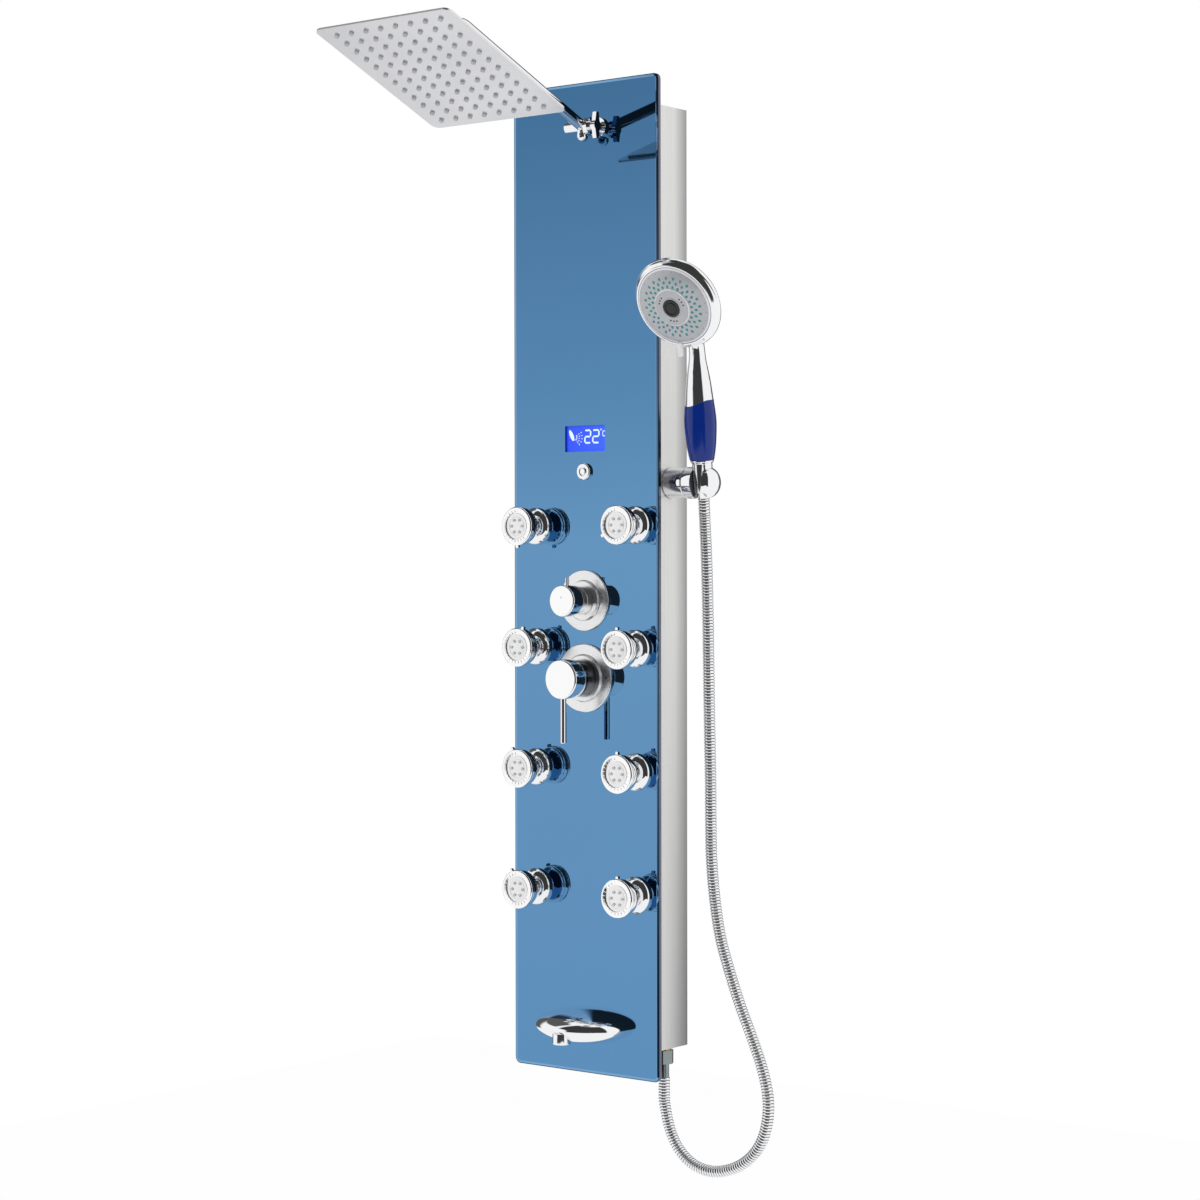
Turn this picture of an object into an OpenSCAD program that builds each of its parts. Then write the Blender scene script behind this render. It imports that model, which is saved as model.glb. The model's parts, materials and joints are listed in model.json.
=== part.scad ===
// Shower panel column: a mirror glass front on a slim wall casing, with eight body jets, a rain head
// on a tilting arm, a hand shower in a swivel holder, a lever mixer, a diverter and a bath spout.
// X runs to the right seen from the front, -Y towards the user, Z up. The origin is on the wall plane,
// in the middle of the upper bracket's two screw holes.

/* [Glass front] */
// Width of the glass front
glass_w = 240; // [225:1:280]
// Height of the glass front
glass_h = 1300; // [1270:5:1450]
// Thickness of the glass
glass_t = 6; // [4:0.5:8]
// Radius of the glass corners
glass_corner_r = 8; // [3:0.5:15]

/* [Casing] */
// Width of the casing behind the glass
casing_w = 220; // [215:1:222]
// Depth of the casing, from the wall to the glass
casing_d = 70; // [66:1:90]
// Thickness of the casing sheet
casing_wall = 2; // [1:0.25:3]
// How far the casing stops short of the glass at the top and at the bottom
casing_margin = 38; // [20:1:50]
// Thickness of the end caps
cap_t = 3; // [2:0.5:5]

/* [Wall brackets] */
// Distance between the two screw holes of a bracket
screw_spacing = 160; // [80:1:180]
// Radius of a screw hole
screw_hole_r = 4; // [2.5:0.25:5]
// Thickness of the bracket plate
bracket_t = 3; // [2:0.5:4]
// Height of the bracket plate
bracket_h = 40; // [25:1:60]
// From the end of the casing to the bracket's middle
bracket_inset = 112; // [60:1:140]

/* [Body jets] */
// Distance from the middle of the panel to a column of jets
jet_x = 82.5; // [70:0.5:84]
// Height of the top jets above the middle of the panel
jet_top_h = 69.5; // [50:0.5:80]
// Distance between the rows of jets
jet_pitch = 160; // [150:1:165]
// Radius of a jet's face ring
jet_r = 25.5; // [22:0.5:27]
// How far a jet stands out of the glass
jet_out = 42; // [40:0.5:50]
// Radius of a jet's swivel ball
jet_ball_r = 10; // [8:0.25:10.5]

/* [Mixer] */
// Height of the mixer, from the middle of the panel
mixer_h = -130.4; // [-140:0.5:-125]
// Radius of the mixer's cover plate
mixer_plate_r = 45; // [40:0.5:48]
// Radius of the mixer's knob
mixer_knob_r = 25.8; // [25.5:0.1:28]
// How far the mixer's knob stands out of the glass
mixer_out = 53; // [51:0.5:58]
// Radius of the round bonnet under the knob
bonnet_r = 24.2; // [23.5:0.1:24.4]
// Length of the lever below the knob
lever_len = 58; // [40:1:80]
// Radius of the lever
lever_r = 4; // [3:0.25:5]

/* [Diverter] */
// Height of the diverter, from the middle of the panel
diverter_h = -28.5; // [-32:0.5:-20]
// Radius of the diverter's cover plate
diverter_plate_r = 40; // [34:0.5:44]
// Radius of the diverter's knob
diverter_knob_r = 20.5; // [19.5:0.5:23]
// How far the diverter's knob stands out of the glass
diverter_out = 50; // [45:0.5:56]

/* [Display and button] */
// Width of the temperature display's window
display_w = 66; // [56:1:76]
// Height of the temperature display's window
display_hh = 34; // [28:1:38]
// Height of the display, from the middle of the panel
display_h = 184; // [170:1:200]
// From the middle of the display down to the push button
button_below = 43.4; // [42:0.1:60]
// Radius of the push button
button_r = 4.6; // [3.5:0.1:6]
// How far the push button travels
button_travel = 1.5; // [1:0.25:2.5]

/* [Rain head] */
// Width of the rain head
rain_w = 215; // [180:1:240]
// Length of the rain head along its arm
rain_l = 241; // [220:1:250]
// Thickness of the rain head's lower plate
rain_plate_t = 2.5; // [2:0.25:4]
// Rise of the arm, and of the head that runs parallel to it
arm_rise = 22; // [15:0.5:30]
// Length of the arm from its hinge to the middle of the rain head
arm_len = 271; // [230:1:320]
// Radius of the arm's tube
arm_r = 7.5; // [6.5:0.25:7.5]
// From the arm's centre line to the underside of the head
arm_drop = 74.8; // [70:0.5:95]

/* [Hand shower] */
// Radius of the hand shower's round head
hand_head_r = 61; // [50:0.5:66]
// Length of the handle
handle_len = 190; // [180:1:210]
// Largest radius of the handle
handle_r = 21; // [19:0.5:23]
// Forward lean of the hand shower in its holder
hand_lean = 8; // [0:0.5:12]
// Sideways lean of the hand shower in its holder
hand_roll = 2.5; // [0:0.5:5]
// Turn of the hand shower in its holder
hand_turn = 4; // [0:1:10]
// Forward nod of the hand shower's face against the handle
head_nod = 20.5; // [15:0.5:30]

/* [Holder] */
// Height of the holder, from the middle of the panel
holder_h = 124.2; // [100:1:140]
// Radius of the round holder
holder_r = 20.5; // [19:0.5:24]
// From the casing's side to the middle of the handle
holder_reach = 51; // [48:1:60]

/* [Spout] */
// Half of the spout's width
spout_half_w = 70; // [50:1:75]
// How far the spout stands out of the glass
spout_out = 60; // [50:1:75]
// Half of the spout's height
spout_half_h = 23.5; // [20:0.5:26]
// Height of the spout above the lower edge of the glass
spout_above = 63.3; // [50:0.5:80]

/* [Hose] */
// Radius of the hose
hose_r = 7.5; // [6:0.25:8]
// Distance from the casing's side to the hose outlet under it
outlet_inset = 12; // [11.5:0.5:30]

/* [Hidden] */
$fn = 64;
hull_sides = 32;
cut = 1;
right_angle = 90;

// Running gaps: between parts that slide or turn, round a ball, and of loose covers over holes
fit = 0.05;
ball_gap = 0.3;
loose = 0.5;

// Heights count from the middle of the glass, and depths from its front face
half_h = glass_h / 2;
casing_h = glass_h - 2 * casing_margin;
bracket_z = casing_h / 2 - bracket_inset;
origin_h = bracket_z;
glass_y = -(casing_d + glass_t);
casing_half_w = casing_w / 2;
inner_x = casing_half_w - casing_wall;
sheet_back = glass_t + casing_wall;
wall_depth = glass_t + casing_d;
jet_rows = 4;
jet_count = 2 * jet_rows;
edge_round = 0.8;

// Wall brackets
bracket_tab_d = 10;

// Water ways inside the casing
pipe_r = 6;
valve_depth = 38;
valve_r = 16;
valve_over = 30;
boss_r = 9;
boss_len = 22;
cartridge_r = 17.5;
cartridge_back = 30;
cartridge_front = 6;
mixer_boss_r = 21;
divert_cartridge_r = 14;
divert_boss_r = 17;
inlet_r = 10.48;
inlet_bore_r = 7;
inlet_x = 45;
inlet_bar_r = 12;
inlet_back = 14;
inlet_collar_r = 14;
inlet_collar_t = 6;
jet_feed_h = (mixer_h + diverter_h) / 2;
jet_pipe_depth = 30;
hand_pipe_depth = 61;
hand_tee_up = 36;
hand_tee_h = mixer_h + hand_tee_up;

// Mixer
mixer_plate_t = 3.5;
mixer_collar_r = 30.5;
mixer_collar_out = 8;
mixer_pivot_out = 22;
mixer_knob_len = 22.6;
mixer_hole_r = 23;
bonnet_wall = 3.5;
bonnet_mouth_r = 14;
knob_bore_r = bonnet_r + loose;
carrier_r = 13;
carrier_t = 3.5;
carrier_ear_t = 3;
carrier_ear_x = 7;
carrier_ear_w = 8;
pivot_pin_r = 2;
stem_r = 4.5;
stem_tail = 4.5;
stem_neck_w = 8;
lever_behind_face = 6.7;

// Diverter
diverter_plate_t = 3;
diverter_collar_r = 26;
diverter_collar_out = 7;
diverter_hole_r = 18;
diverter_front_len = 23;
diverter_sleeve_r = 19;
diverter_shaft_r = 5;
diverter_shaft_len = 30;
diverter_pin_r = 2.5;
diverter_pin_len = 10;
diverter_pin_behind = 12;

// Display and button
button_h = display_h - button_below;
housing_lip = 2;
housing_back = 24;
window_sink = 3;
button_ring_r = 11;
button_ring_out = 4.5;
button_out = 5.5;
button_sleeve_r = 8.8;
button_sleeve_len = 10;
button_flange_r = 6.8;
button_flange_t = 2;
button_body_len = 5;

// Body jets
jet_tail_r = 9;
// The domed base and the head's back, each point as a share of the radius and a share of the height
jet_base_r = 25;
jet_base_t = 11;
jet_base_shares = [[1, 0], [1, 0.15], [0.97, 0.4], [0.87, 0.68], [0.68, 0.9], [0.44, 1], [0, 1]];
jet_ball_out = 18;
jet_stem_r = 5.5;
jet_collar_out = 16.5;
jet_split_out = 36.6;
jet_body_r = jet_r - edge_round;
jet_back_shares = [[0.53, 0], [0.57, 0.12], [0.68, 0.22], [0.86, 0.36], [0.95, 0.5], [0.97, 0.66], [1, 0.7]];
jet_spigot_r = 7;
jet_spigot_len = 6;
jet_insert_r = 16.8;
jet_insert_out = 1.2;
jet_nozzle_r = 2;
jet_nozzle_out = 1.8;
jet_nozzle_ring_r = 9;
jet_nozzles = 6;
jet_tab_w = 5;
jet_tab_t = 4.4;
jet_tab_out = 3.5;
// Where each jet's mode tab points, in degrees anticlockwise from the right
jet_tab_turns = [-90, 70, 110, 115, 210, 90, 90, 90];

// Rain arm
arm_x = 14;
arm_below_top = 62;
arm_h = half_h - arm_below_top;
hinge_out = 22;
cross_r = 7;
cross_left = 25.5;
cross_collar = 3.2;
eye_x = 11;
eye_r = 11;
eye_w = 6;
neck_r = 6;
neck_tail_r = 8;
rosette_r = 13;
rosette_t = 4;
cross_right = eye_x + eye_w / 2 + cross_collar;
lock_pin_r = 4;
lock_hub_r = 7;
lock_hub_len = 7.3;
lock_wing_r = 17;
lock_wing_w = 11;
lock_tip_w = 5;
lock_wing_t = 6;
plug_r = 7.5;
plug_drop = 12;
lock_pin_len = 5;
elbow_r = 20;
plate_to_ball = 20;
swivel_r = 11;
cup_r = 13.5;
cup_low = 4.5;
cup_high = 14;
nut_r = 15.5;
nut_top = 2.5;

// Rain head
rain_corner_r = 10;
rain_pan_inset = 10;
rain_pan_t = 3.5;
rain_skin = 1.2;
nozzle_cols = 8;
nozzle_rows = 12;
nozzle_pitch_x = 23.7;
nozzle_pitch_l = 18.8;
nozzle_r = 2.4;
nozzle_tip_r = 1.7;
nozzle_out = 2.5;

// Holder
holder_base_len = 29;
holder_shadow_gap = 0.4;
holder_end = 25;
holder_dome = 4;
holder_pin_r = 6;
holder_pin_len = 6;
holder_slot_w = 18;

// Hand shower: the handle's outline, as shares of its length and of its largest radius
below_holder = 13;
cone_share = 0.22;
grip_share = 0.615;
end_r_share = 0.57;
cone_r_share = 0.64;
core_r_share = 0.6;
grip_shares = [[0.22, 0.75], [0.36, 0.94], [0.49, 1], [0.615, 0.9]];
neck_shares = [[0.615, 0.9], [0.76, 0.77], [0.91, 0.54], [1, 0.5]];
// The head counts from the plane of its lip. Outlines are shares of a radius and of a depth or height
hand_head_up = 230.2;
hand_head_fwd = 48.6;
hand_lip_out = 1;
hand_lip_w = 2;
hand_bevel_w = 6.5;
hand_bevel_d = 9;
hand_lip_r = hand_head_r - hand_bevel_w;
hand_bevel_shares = [[0.75, 0.5], [0.4, 0.2], [0, 0.08]];
hand_dome_t = 20;
hand_dome_shares = [[0, 1], [0.36, 0.96], [0.6, 0.84], [0.78, 0.64], [0.92, 0.37], [0.98, 0.16]];
hand_face_r = hand_lip_r - hand_lip_w;
hand_face_t = 3;
hand_face_dome = 8;
hand_face_shares = [[1, 0], [0.97, 0.2], [0.9, 0.4], [0.75, 0.6], [0.5, 0.75], [0.47, 0.95], [0.25, 1], [0, 1]];
hand_face_pin_r = 8;
hand_face_pin_len = 10;
hand_button_r = 11.7;
hand_button_t = 1.5;
hand_tab_w = 7;
hand_tab_len = 8;
hand_tab_t = 4;
hand_tab_root_share = 0.88;
hand_tab_turn = -6;
neck_bridge_r = 10;

// Spout and its aerator
spout_sides = 32;
spout_hole_r = 9;
spout_tail_r = 8;
aerator_r = 12;
aerator_len = 8;
aerator_top_r = 5;
aerator_back = 9;
aerator_seat = 10.5;

// Hose: nut and sleeve under the casing, cone under the handle
nipple_r = 8;
nipple_len = 3;
hose_nut_r = 13;
hose_nut_len = 17.3;
hose_sleeve_r = 6.4;
hose_sleeve_len = 18.3;
hose_cone_r = 9.5;
hose_cone_tip_r = 8;
hose_cone_len = 7;
hose_bore_r = 4.4;
hose_valley_r = 6.7;
hose_ribs = 180;
hose_sides = 8;
bore_rings = 44;
holder_x = casing_half_w + holder_reach;
holder_y = -casing_d / 2;
outlet_x = casing_half_w - outlet_inset;
hose_top_s = -(below_holder + hose_cone_len);
hose_top_way = [-sin(hand_roll), cos(hand_roll) * sin(hand_lean), -cos(hand_roll) * cos(hand_lean)];
hose_top = [holder_x, holder_y, holder_h - origin_h] - hose_top_s * hose_top_way;
hose_end = [outlet_x, holder_y, -casing_h / 2 - nipple_len - hose_nut_len - hose_sleeve_len - origin_h];
hose_end_way = [0, 0, 1];
// The hanging part of the hose, each point as [x, y, z]
hose_hang = [
    [163, -30, -480], [165, -30, -550], [167, -31, -630], [169, -32, -700], [171, -33, -760],
    [172, -34, -810], [174, -35, -862], [179, -35, -912], [188, -35, -961], [202, -35, -1003],
    [218, -35, -1044], [235, -35, -1081], [250, -35, -1116], [259, -35, -1145], [262, -35, -1168],
    [260, -35, -1191], [253, -35, -1213], [240, -35, -1233], [221, -35, -1249], [200, -35, -1259],
    [178, -35, -1264], [157, -35, -1263], [138, -35, -1256], [122, -35, -1243], [111, -35, -1227],
    [104, -35, -1209], [100, -35, -1192]
];

// Places: on the glass with X right, Y up and Z out of the glass; on the rain arm; on the handle
module on_panel(x = 0, h = 0) {
    translate([x, glass_y, h - origin_h])
        rotate([right_angle, 0, 0])
            children();
}

module on_arm() {
    translate([arm_x, glass_y - hinge_out, arm_h - origin_h])
        rotate([-arm_rise, 0, 0])
            children();
}

module on_handle() {
    translate([holder_x, holder_y, holder_h - origin_h])
        rotate([hand_lean, 0, 0])
            rotate([0, hand_roll, 0])
                rotate([0, 0, hand_turn])
                    translate([0, 0, -below_holder])
                        children();
}

module on_hand_head() {
    on_handle()
        translate([0, -hand_head_fwd, hand_head_up + below_holder])
            rotate([right_angle + head_nod, 0, 0])
                children();
}

function jet_column(i) = i < jet_rows ? -1 : 1;
function jet_h(i) = jet_top_h - (i % jet_rows) * jet_pitch;

module on_jet(i) {
    on_panel(jet_column(i) * jet_x, jet_h(i))
        children();
}

// Bars for pipes and bosses, in the panel's own directions
module out_bar(x, h, z0, z1, r) {
    translate([x, h, z0])
        cylinder(r = r, h = z1 - z0);
}

module up_bar(x, z, h0, h1, r) {
    translate([x, h0, z])
        rotate([-right_angle, 0, 0])
            cylinder(r = r, h = h1 - h0);
}

module across_bar(h, z, x0, x1, r) {
    translate([x0, h, z])
        rotate([0, right_angle, 0])
            cylinder(r = r, h = x1 - x0);
}

module rounded_outline(w, h, r) {
    square([w - 2 * r, h], center = true);
    square([w, h - 2 * r], center = true);
    for (x = [-1, 1])
        for (y = [-1, 1])
            translate([x * (w / 2 - r), y * (h / 2 - r)])
                circle(r = r);
}

// Glass, casing and brackets
module panel_holes(z0, z1, mixer_r, diverter_r) {
    for (i = [0:jet_count - 1])
        out_bar(jet_column(i) * jet_x, jet_h(i), z0, z1, jet_tail_r + loose);
    out_bar(0, mixer_h, z0, z1, mixer_r);
    out_bar(0, diverter_h, z0, z1, diverter_r);
    out_bar(0, button_h, z0, z1, button_sleeve_r + loose);
    out_bar(arm_x + eye_x, arm_h, z0, z1, neck_tail_r + loose);
    out_bar(0, spout_above - half_h, z0, z1, spout_hole_r);
}

module display_hole(w, h, z0, z1) {
    translate([-w / 2, display_h - h / 2, z0])
        cube([w, h, z1 - z0]);
}

module glass_panel() {
    color([0.27, 0.45, 0.62])
        on_panel()
            difference() {
                translate([0, 0, -glass_t])
                    linear_extrude(glass_t)
                        rounded_outline(glass_w, glass_h, glass_corner_r);
                panel_holes(-glass_t - cut, cut, mixer_hole_r, diverter_hole_r);
                display_hole(display_w + 2 * fit, display_hh + 2 * fit, -glass_t - cut, cut);
            }
}

module casing_channel() {
    channel_h = casing_h - 2 * cap_t;
    color([0.8, 0.8, 0.8])
        on_panel()
            difference() {
                translate([-casing_half_w, -channel_h / 2, -wall_depth])
                    cube([casing_w, channel_h, casing_d]);
                translate([-inner_x, -channel_h / 2 - cut, -wall_depth - cut])
                    cube([2 * inner_x, channel_h + 2 * cut, casing_d - casing_wall + cut]);
                panel_holes(-sheet_back - cut, -glass_t + cut, cartridge_r + loose, divert_cartridge_r + loose);
                display_hole(display_w + 2 * housing_lip + 2 * fit, display_hh + 2 * housing_lip + 2 * fit,
                             -sheet_back - cut, -glass_t + cut);
            }
}

module end_caps() {
    color([0.78, 0.78, 0.78])
        on_panel()
            difference() {
                for (h = [-casing_h / 2, casing_h / 2 - cap_t])
                    translate([-casing_half_w, h, -wall_depth])
                        cube([casing_w, cap_t, casing_d]);
                up_bar(outlet_x, -wall_depth - holder_y, -casing_h / 2 - cut, -casing_h / 2 + cap_t + cut,
                       nipple_r + fit);
            }
}

module wall_brackets() {
    color([0.6, 0.6, 0.6])
        for (z = [0, -2 * bracket_z])
            translate([0, 0, z])
                difference() {
                    union() {
                        translate([-inner_x, -bracket_t, -bracket_h / 2])
                            cube([2 * inner_x, bracket_t, bracket_h]);
                        for (x = [-inner_x, inner_x - bracket_t])
                            translate([x, -bracket_tab_d, -bracket_h / 2])
                                cube([bracket_t, bracket_tab_d, bracket_h]);
                    }
                    for (x = [-1, 1])
                        translate([x * screw_spacing / 2, cut, 0])
                            rotate([right_angle, 0, 0])
                                cylinder(r = screw_hole_r, h = bracket_t + 2 * cut);
                }
}

// Brass body behind the two knobs, with the hot and cold inlets at its back
module valve_body() {
    low = mixer_h - valve_over;
    high = diverter_h + valve_over;
    color([0.75, 0.62, 0.35])
        on_panel()
            difference() {
                union() {
                    up_bar(0, -valve_depth, low, high, valve_r);
                    out_bar(0, mixer_h, -valve_depth, -sheet_back, mixer_boss_r);
                    out_bar(0, diverter_h, -valve_depth, -sheet_back, divert_boss_r);
                    across_bar(mixer_h, -valve_depth, -inlet_x, inlet_x, inlet_bar_r);
                    across_bar(jet_feed_h, -jet_pipe_depth, -boss_len, boss_len, boss_r);
                    out_bar(0, hand_tee_h, -hand_pipe_depth + pipe_r, -valve_depth, boss_r);
                    for (x = [-inlet_x, inlet_x]) {
                        out_bar(x, mixer_h, -wall_depth + inlet_back, -valve_depth, inlet_r);
                        out_bar(x, mixer_h, -valve_depth - inlet_bar_r, inlet_collar_t - valve_depth - inlet_bar_r,
                                inlet_collar_r);
                    }
                }
                out_bar(0, mixer_h, -cartridge_back, 0, cartridge_r + fit);
                out_bar(0, diverter_h, -cartridge_back, 0, divert_cartridge_r + fit);
                for (x = [-inlet_x, inlet_x])
                    out_bar(x, mixer_h, -wall_depth, -valve_depth, inlet_bore_r);
            }
}

module rain_pipe() {
    foot = diverter_h + valve_over;
    top_x = arm_x + eye_x;
    color([0.72, 0.6, 0.4])
        on_panel()
            union() {
                up_bar(0, -valve_depth, foot, arm_h, pipe_r);
                across_bar(arm_h, -valve_depth, 0, top_x, pipe_r);
                out_bar(top_x, arm_h, -valve_depth, -jet_pipe_depth, pipe_r);
                for (x = [0, top_x])
                    translate([x, arm_h, -valve_depth])
                        sphere(r = pipe_r);
            }
}

module jet_pipes() {
    color([0.72, 0.6, 0.4])
        on_panel()
            for (side = [0, 1])
                mirror([side, 0, 0])
                    union() {
                        up_bar(jet_x, -jet_pipe_depth, jet_h(jet_rows - 1) - pipe_r, jet_top_h + pipe_r, pipe_r);
                        across_bar(jet_feed_h, -jet_pipe_depth, boss_len, jet_x, pipe_r);
                        for (i = [0:jet_rows - 1])
                            out_bar(jet_x, jet_h(i), -jet_pipe_depth, -jet_pipe_depth + pipe_r + cut, jet_tail_r);
                    }
}

// The way down to the spout, and the way round to the hose outlet under the casing
module outlet_pipes() {
    spout_h = spout_above - half_h;
    drop_h = -casing_h / 2 + cap_t + 2 * pipe_r;
    outlet_depth = wall_depth + holder_y;
    color([0.72, 0.6, 0.4])
        on_panel() {
            union() {
                up_bar(0, -valve_depth, spout_h, mixer_h - valve_over, pipe_r);
                translate([0, spout_h, -valve_depth])
                    sphere(r = pipe_r);
                out_bar(0, spout_h, -valve_depth, -jet_pipe_depth, pipe_r);
            }
            union() {
                out_bar(0, hand_tee_h, -hand_pipe_depth, pipe_r - hand_pipe_depth, pipe_r);
                across_bar(hand_tee_h, -hand_pipe_depth, 0, outlet_x, pipe_r);
                up_bar(outlet_x, -hand_pipe_depth, drop_h, hand_tee_h, pipe_r);
                out_bar(outlet_x, drop_h, -hand_pipe_depth, -outlet_depth, pipe_r);
                for (p = [[0, hand_tee_h], [outlet_x, hand_tee_h], [outlet_x, drop_h]])
                    translate([p[0], p[1], -hand_pipe_depth])
                        sphere(r = pipe_r);
                up_bar(outlet_x, -outlet_depth, -casing_h / 2 - nipple_len, drop_h, nipple_r);
                translate([outlet_x, drop_h, -outlet_depth])
                    sphere(r = nipple_r);
            }
        }
}

// Mixer
module mixer_cartridge() {
    color([0.9, 0.9, 0.85])
        on_panel(0, mixer_h)
            out_bar(0, 0, -cartridge_back, cartridge_front, cartridge_r);
}

module mixer_plate() {
    color([0.85, 0.86, 0.88])
        on_panel(0, mixer_h)
            rotate_extrude()
                polygon([
                    [bonnet_r + fit, 0], [mixer_plate_r, 0], [mixer_plate_r, mixer_plate_t - edge_round],
                    [mixer_plate_r - edge_round, mixer_plate_t], [mixer_collar_r, mixer_plate_t],
                    [mixer_collar_r, mixer_collar_out - edge_round],
                    [mixer_collar_r - edge_round, mixer_collar_out], [bonnet_r + fit, mixer_collar_out]
                ]);
}

module mixer_bonnet() {
    inner_r = bonnet_r - bonnet_wall;
    color([0.85, 0.86, 0.88])
        on_panel(0, mixer_h)
            difference() {
                union() {
                    cylinder(r = bonnet_r, h = mixer_pivot_out);
                    translate([0, 0, mixer_pivot_out])
                        sphere(r = bonnet_r);
                }
                translate([0, 0, -bonnet_r - cut])
                    cylinder(r = bonnet_r + cut, h = bonnet_r + cut);
                translate([0, 0, -cut])
                    cylinder(r = inner_r, h = mixer_pivot_out + cut);
                translate([0, 0, mixer_pivot_out])
                    sphere(r = inner_r);
                cylinder(r = bonnet_mouth_r, h = mixer_out);
            }
}

module mixer_carrier() {
    base = cartridge_front + ball_gap;
    ear_h = mixer_pivot_out + pivot_pin_r + cut - base;
    color([0.7, 0.7, 0.72])
        on_panel(0, mixer_h)
            union() {
                translate([0, 0, base])
                    cylinder(r = carrier_r, h = carrier_t);
                for (x = [-carrier_ear_x - carrier_ear_t, carrier_ear_x])
                    translate([x, -carrier_ear_w / 2, base])
                        cube([carrier_ear_t, carrier_ear_w, ear_h]);
                across_bar(0, mixer_pivot_out, -carrier_ear_x - carrier_ear_t / 2,
                           carrier_ear_x + carrier_ear_t / 2, pivot_pin_r);
            }
}

module mixer_stem() {
    knob_seat = mixer_pivot_out + knob_bore_r - cut;
    color([0.7, 0.7, 0.72])
        on_panel(0, mixer_h)
            difference() {
                union() {
                    out_bar(0, 0, mixer_pivot_out, knob_seat, stem_r);
                    across_bar(0, mixer_pivot_out, -stem_neck_w / 2, stem_neck_w / 2, stem_tail);
                }
                across_bar(0, mixer_pivot_out, -stem_neck_w, stem_neck_w, pivot_pin_r + fit);
            }
}

module mixer_knob() {
    color([0.85, 0.86, 0.88])
        on_panel(0, mixer_h)
            difference() {
                translate([0, 0, mixer_out - mixer_knob_len])
                    rotate_extrude()
                        polygon([
                            [0, 0], [mixer_knob_r, 0], [mixer_knob_r, mixer_knob_len - edge_round],
                            [mixer_knob_r - edge_round, mixer_knob_len], [0, mixer_knob_len]
                        ]);
                difference() {
                    translate([0, 0, mixer_pivot_out])
                        sphere(r = knob_bore_r);
                    translate([0, 0, mixer_pivot_out + knob_bore_r - cut])
                        cylinder(r = stem_r, h = 2 * cut);
                }
            }
}

module mixer_lever() {
    color([0.85, 0.86, 0.88])
        on_panel(0, mixer_h)
            difference() {
                translate([0, 0, mixer_out - lever_behind_face])
                    rotate([right_angle, 0, 0])
                        translate([0, 0, mixer_knob_r])
                            union() {
                                translate([0, 0, -cut])
                                    cylinder(r = lever_r, h = lever_len + cut - edge_round);
                                translate([0, 0, lever_len - edge_round])
                                    cylinder(r1 = lever_r, r2 = lever_r - edge_round, h = edge_round);
                            }
                out_bar(0, 0, 0, mixer_out, mixer_knob_r);
            }
}

// Diverter
module diverter_cartridge() {
    color([0.9, 0.9, 0.85])
        on_panel(0, diverter_h)
            difference() {
                out_bar(0, 0, -cartridge_back, 0, divert_cartridge_r);
                out_bar(0, 0, diverter_collar_out + loose - diverter_shaft_len - cut, cut, diverter_shaft_r + fit);
            }
}

module diverter_plate() {
    hole_r = diverter_shaft_r + loose;
    color([0.85, 0.86, 0.88])
        on_panel(0, diverter_h)
            rotate_extrude()
                polygon([
                    [hole_r, 0], [diverter_plate_r, 0], [diverter_plate_r, diverter_plate_t - edge_round],
                    [diverter_plate_r - edge_round, diverter_plate_t], [diverter_collar_r, diverter_plate_t],
                    [diverter_collar_r, diverter_collar_out - edge_round],
                    [diverter_collar_r - edge_round, diverter_collar_out], [hole_r, diverter_collar_out]
                ]);
}

module diverter_knob() {
    low = diverter_collar_out + loose;
    step = diverter_out - diverter_front_len;
    color([0.85, 0.86, 0.88])
        on_panel(0, diverter_h)
            union() {
                out_bar(0, 0, low - diverter_shaft_len, low, diverter_shaft_r);
                rotate_extrude()
                    polygon([
                        [0, low], [diverter_sleeve_r, low], [diverter_sleeve_r, step],
                        [diverter_knob_r, step + edge_round], [diverter_knob_r, diverter_out - edge_round],
                        [diverter_knob_r - edge_round, diverter_out], [0, diverter_out]
                    ]);
            }
}

module diverter_pin() {
    color([0.85, 0.86, 0.88])
        on_panel(0, diverter_h)
            difference() {
                up_bar(0, -diverter_pin_behind + diverter_out, diverter_knob_r - cut,
                       diverter_knob_r + diverter_pin_len, diverter_pin_r);
                out_bar(0, 0, 0, diverter_out, diverter_knob_r);
            }
}

// Temperature display and its push button
module display_housing() {
    color([0.12, 0.12, 0.14])
        on_panel()
            display_hole(display_w + 2 * housing_lip, display_hh + 2 * housing_lip, -housing_back, -glass_t);
}

module display_window() {
    color([0.1, 0.28, 0.85])
        on_panel()
            display_hole(display_w, display_hh, -glass_t, -window_sink);
}

module button_ring() {
    color([0.85, 0.86, 0.88])
        on_panel(0, button_h)
            rotate_extrude()
                polygon([
                    [button_r + fit, -button_sleeve_len], [button_sleeve_r, -button_sleeve_len],
                    [button_sleeve_r, 0], [button_ring_r, 0], [button_ring_r, button_ring_out - edge_round],
                    [button_ring_r - edge_round, button_ring_out], [button_r + fit, button_ring_out]
                ]);
}

module push_button() {
    color([0.7, 0.71, 0.73])
        on_panel(0, button_h)
            union() {
                out_bar(0, 0, -button_sleeve_len - button_body_len, button_out, button_r);
                out_bar(0, 0, -button_sleeve_len - ball_gap - button_flange_t, -button_sleeve_len - ball_gap,
                        button_flange_r);
            }
}

// Rain arm and head
module arm_bracket() {
    color([0.85, 0.86, 0.88])
        on_panel(arm_x + eye_x, arm_h)
            difference() {
                union() {
                    out_bar(0, 0, -jet_pipe_depth, 0, neck_tail_r);
                    out_bar(0, 0, 0, rosette_t, rosette_r);
                    out_bar(0, 0, 0, hinge_out - cross_r - loose, neck_r);
                    across_bar(0, hinge_out, -eye_w / 2, eye_w / 2, eye_r);
                }
                across_bar(0, hinge_out, -eye_w, eye_w, cross_r + fit);
            }
}

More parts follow.
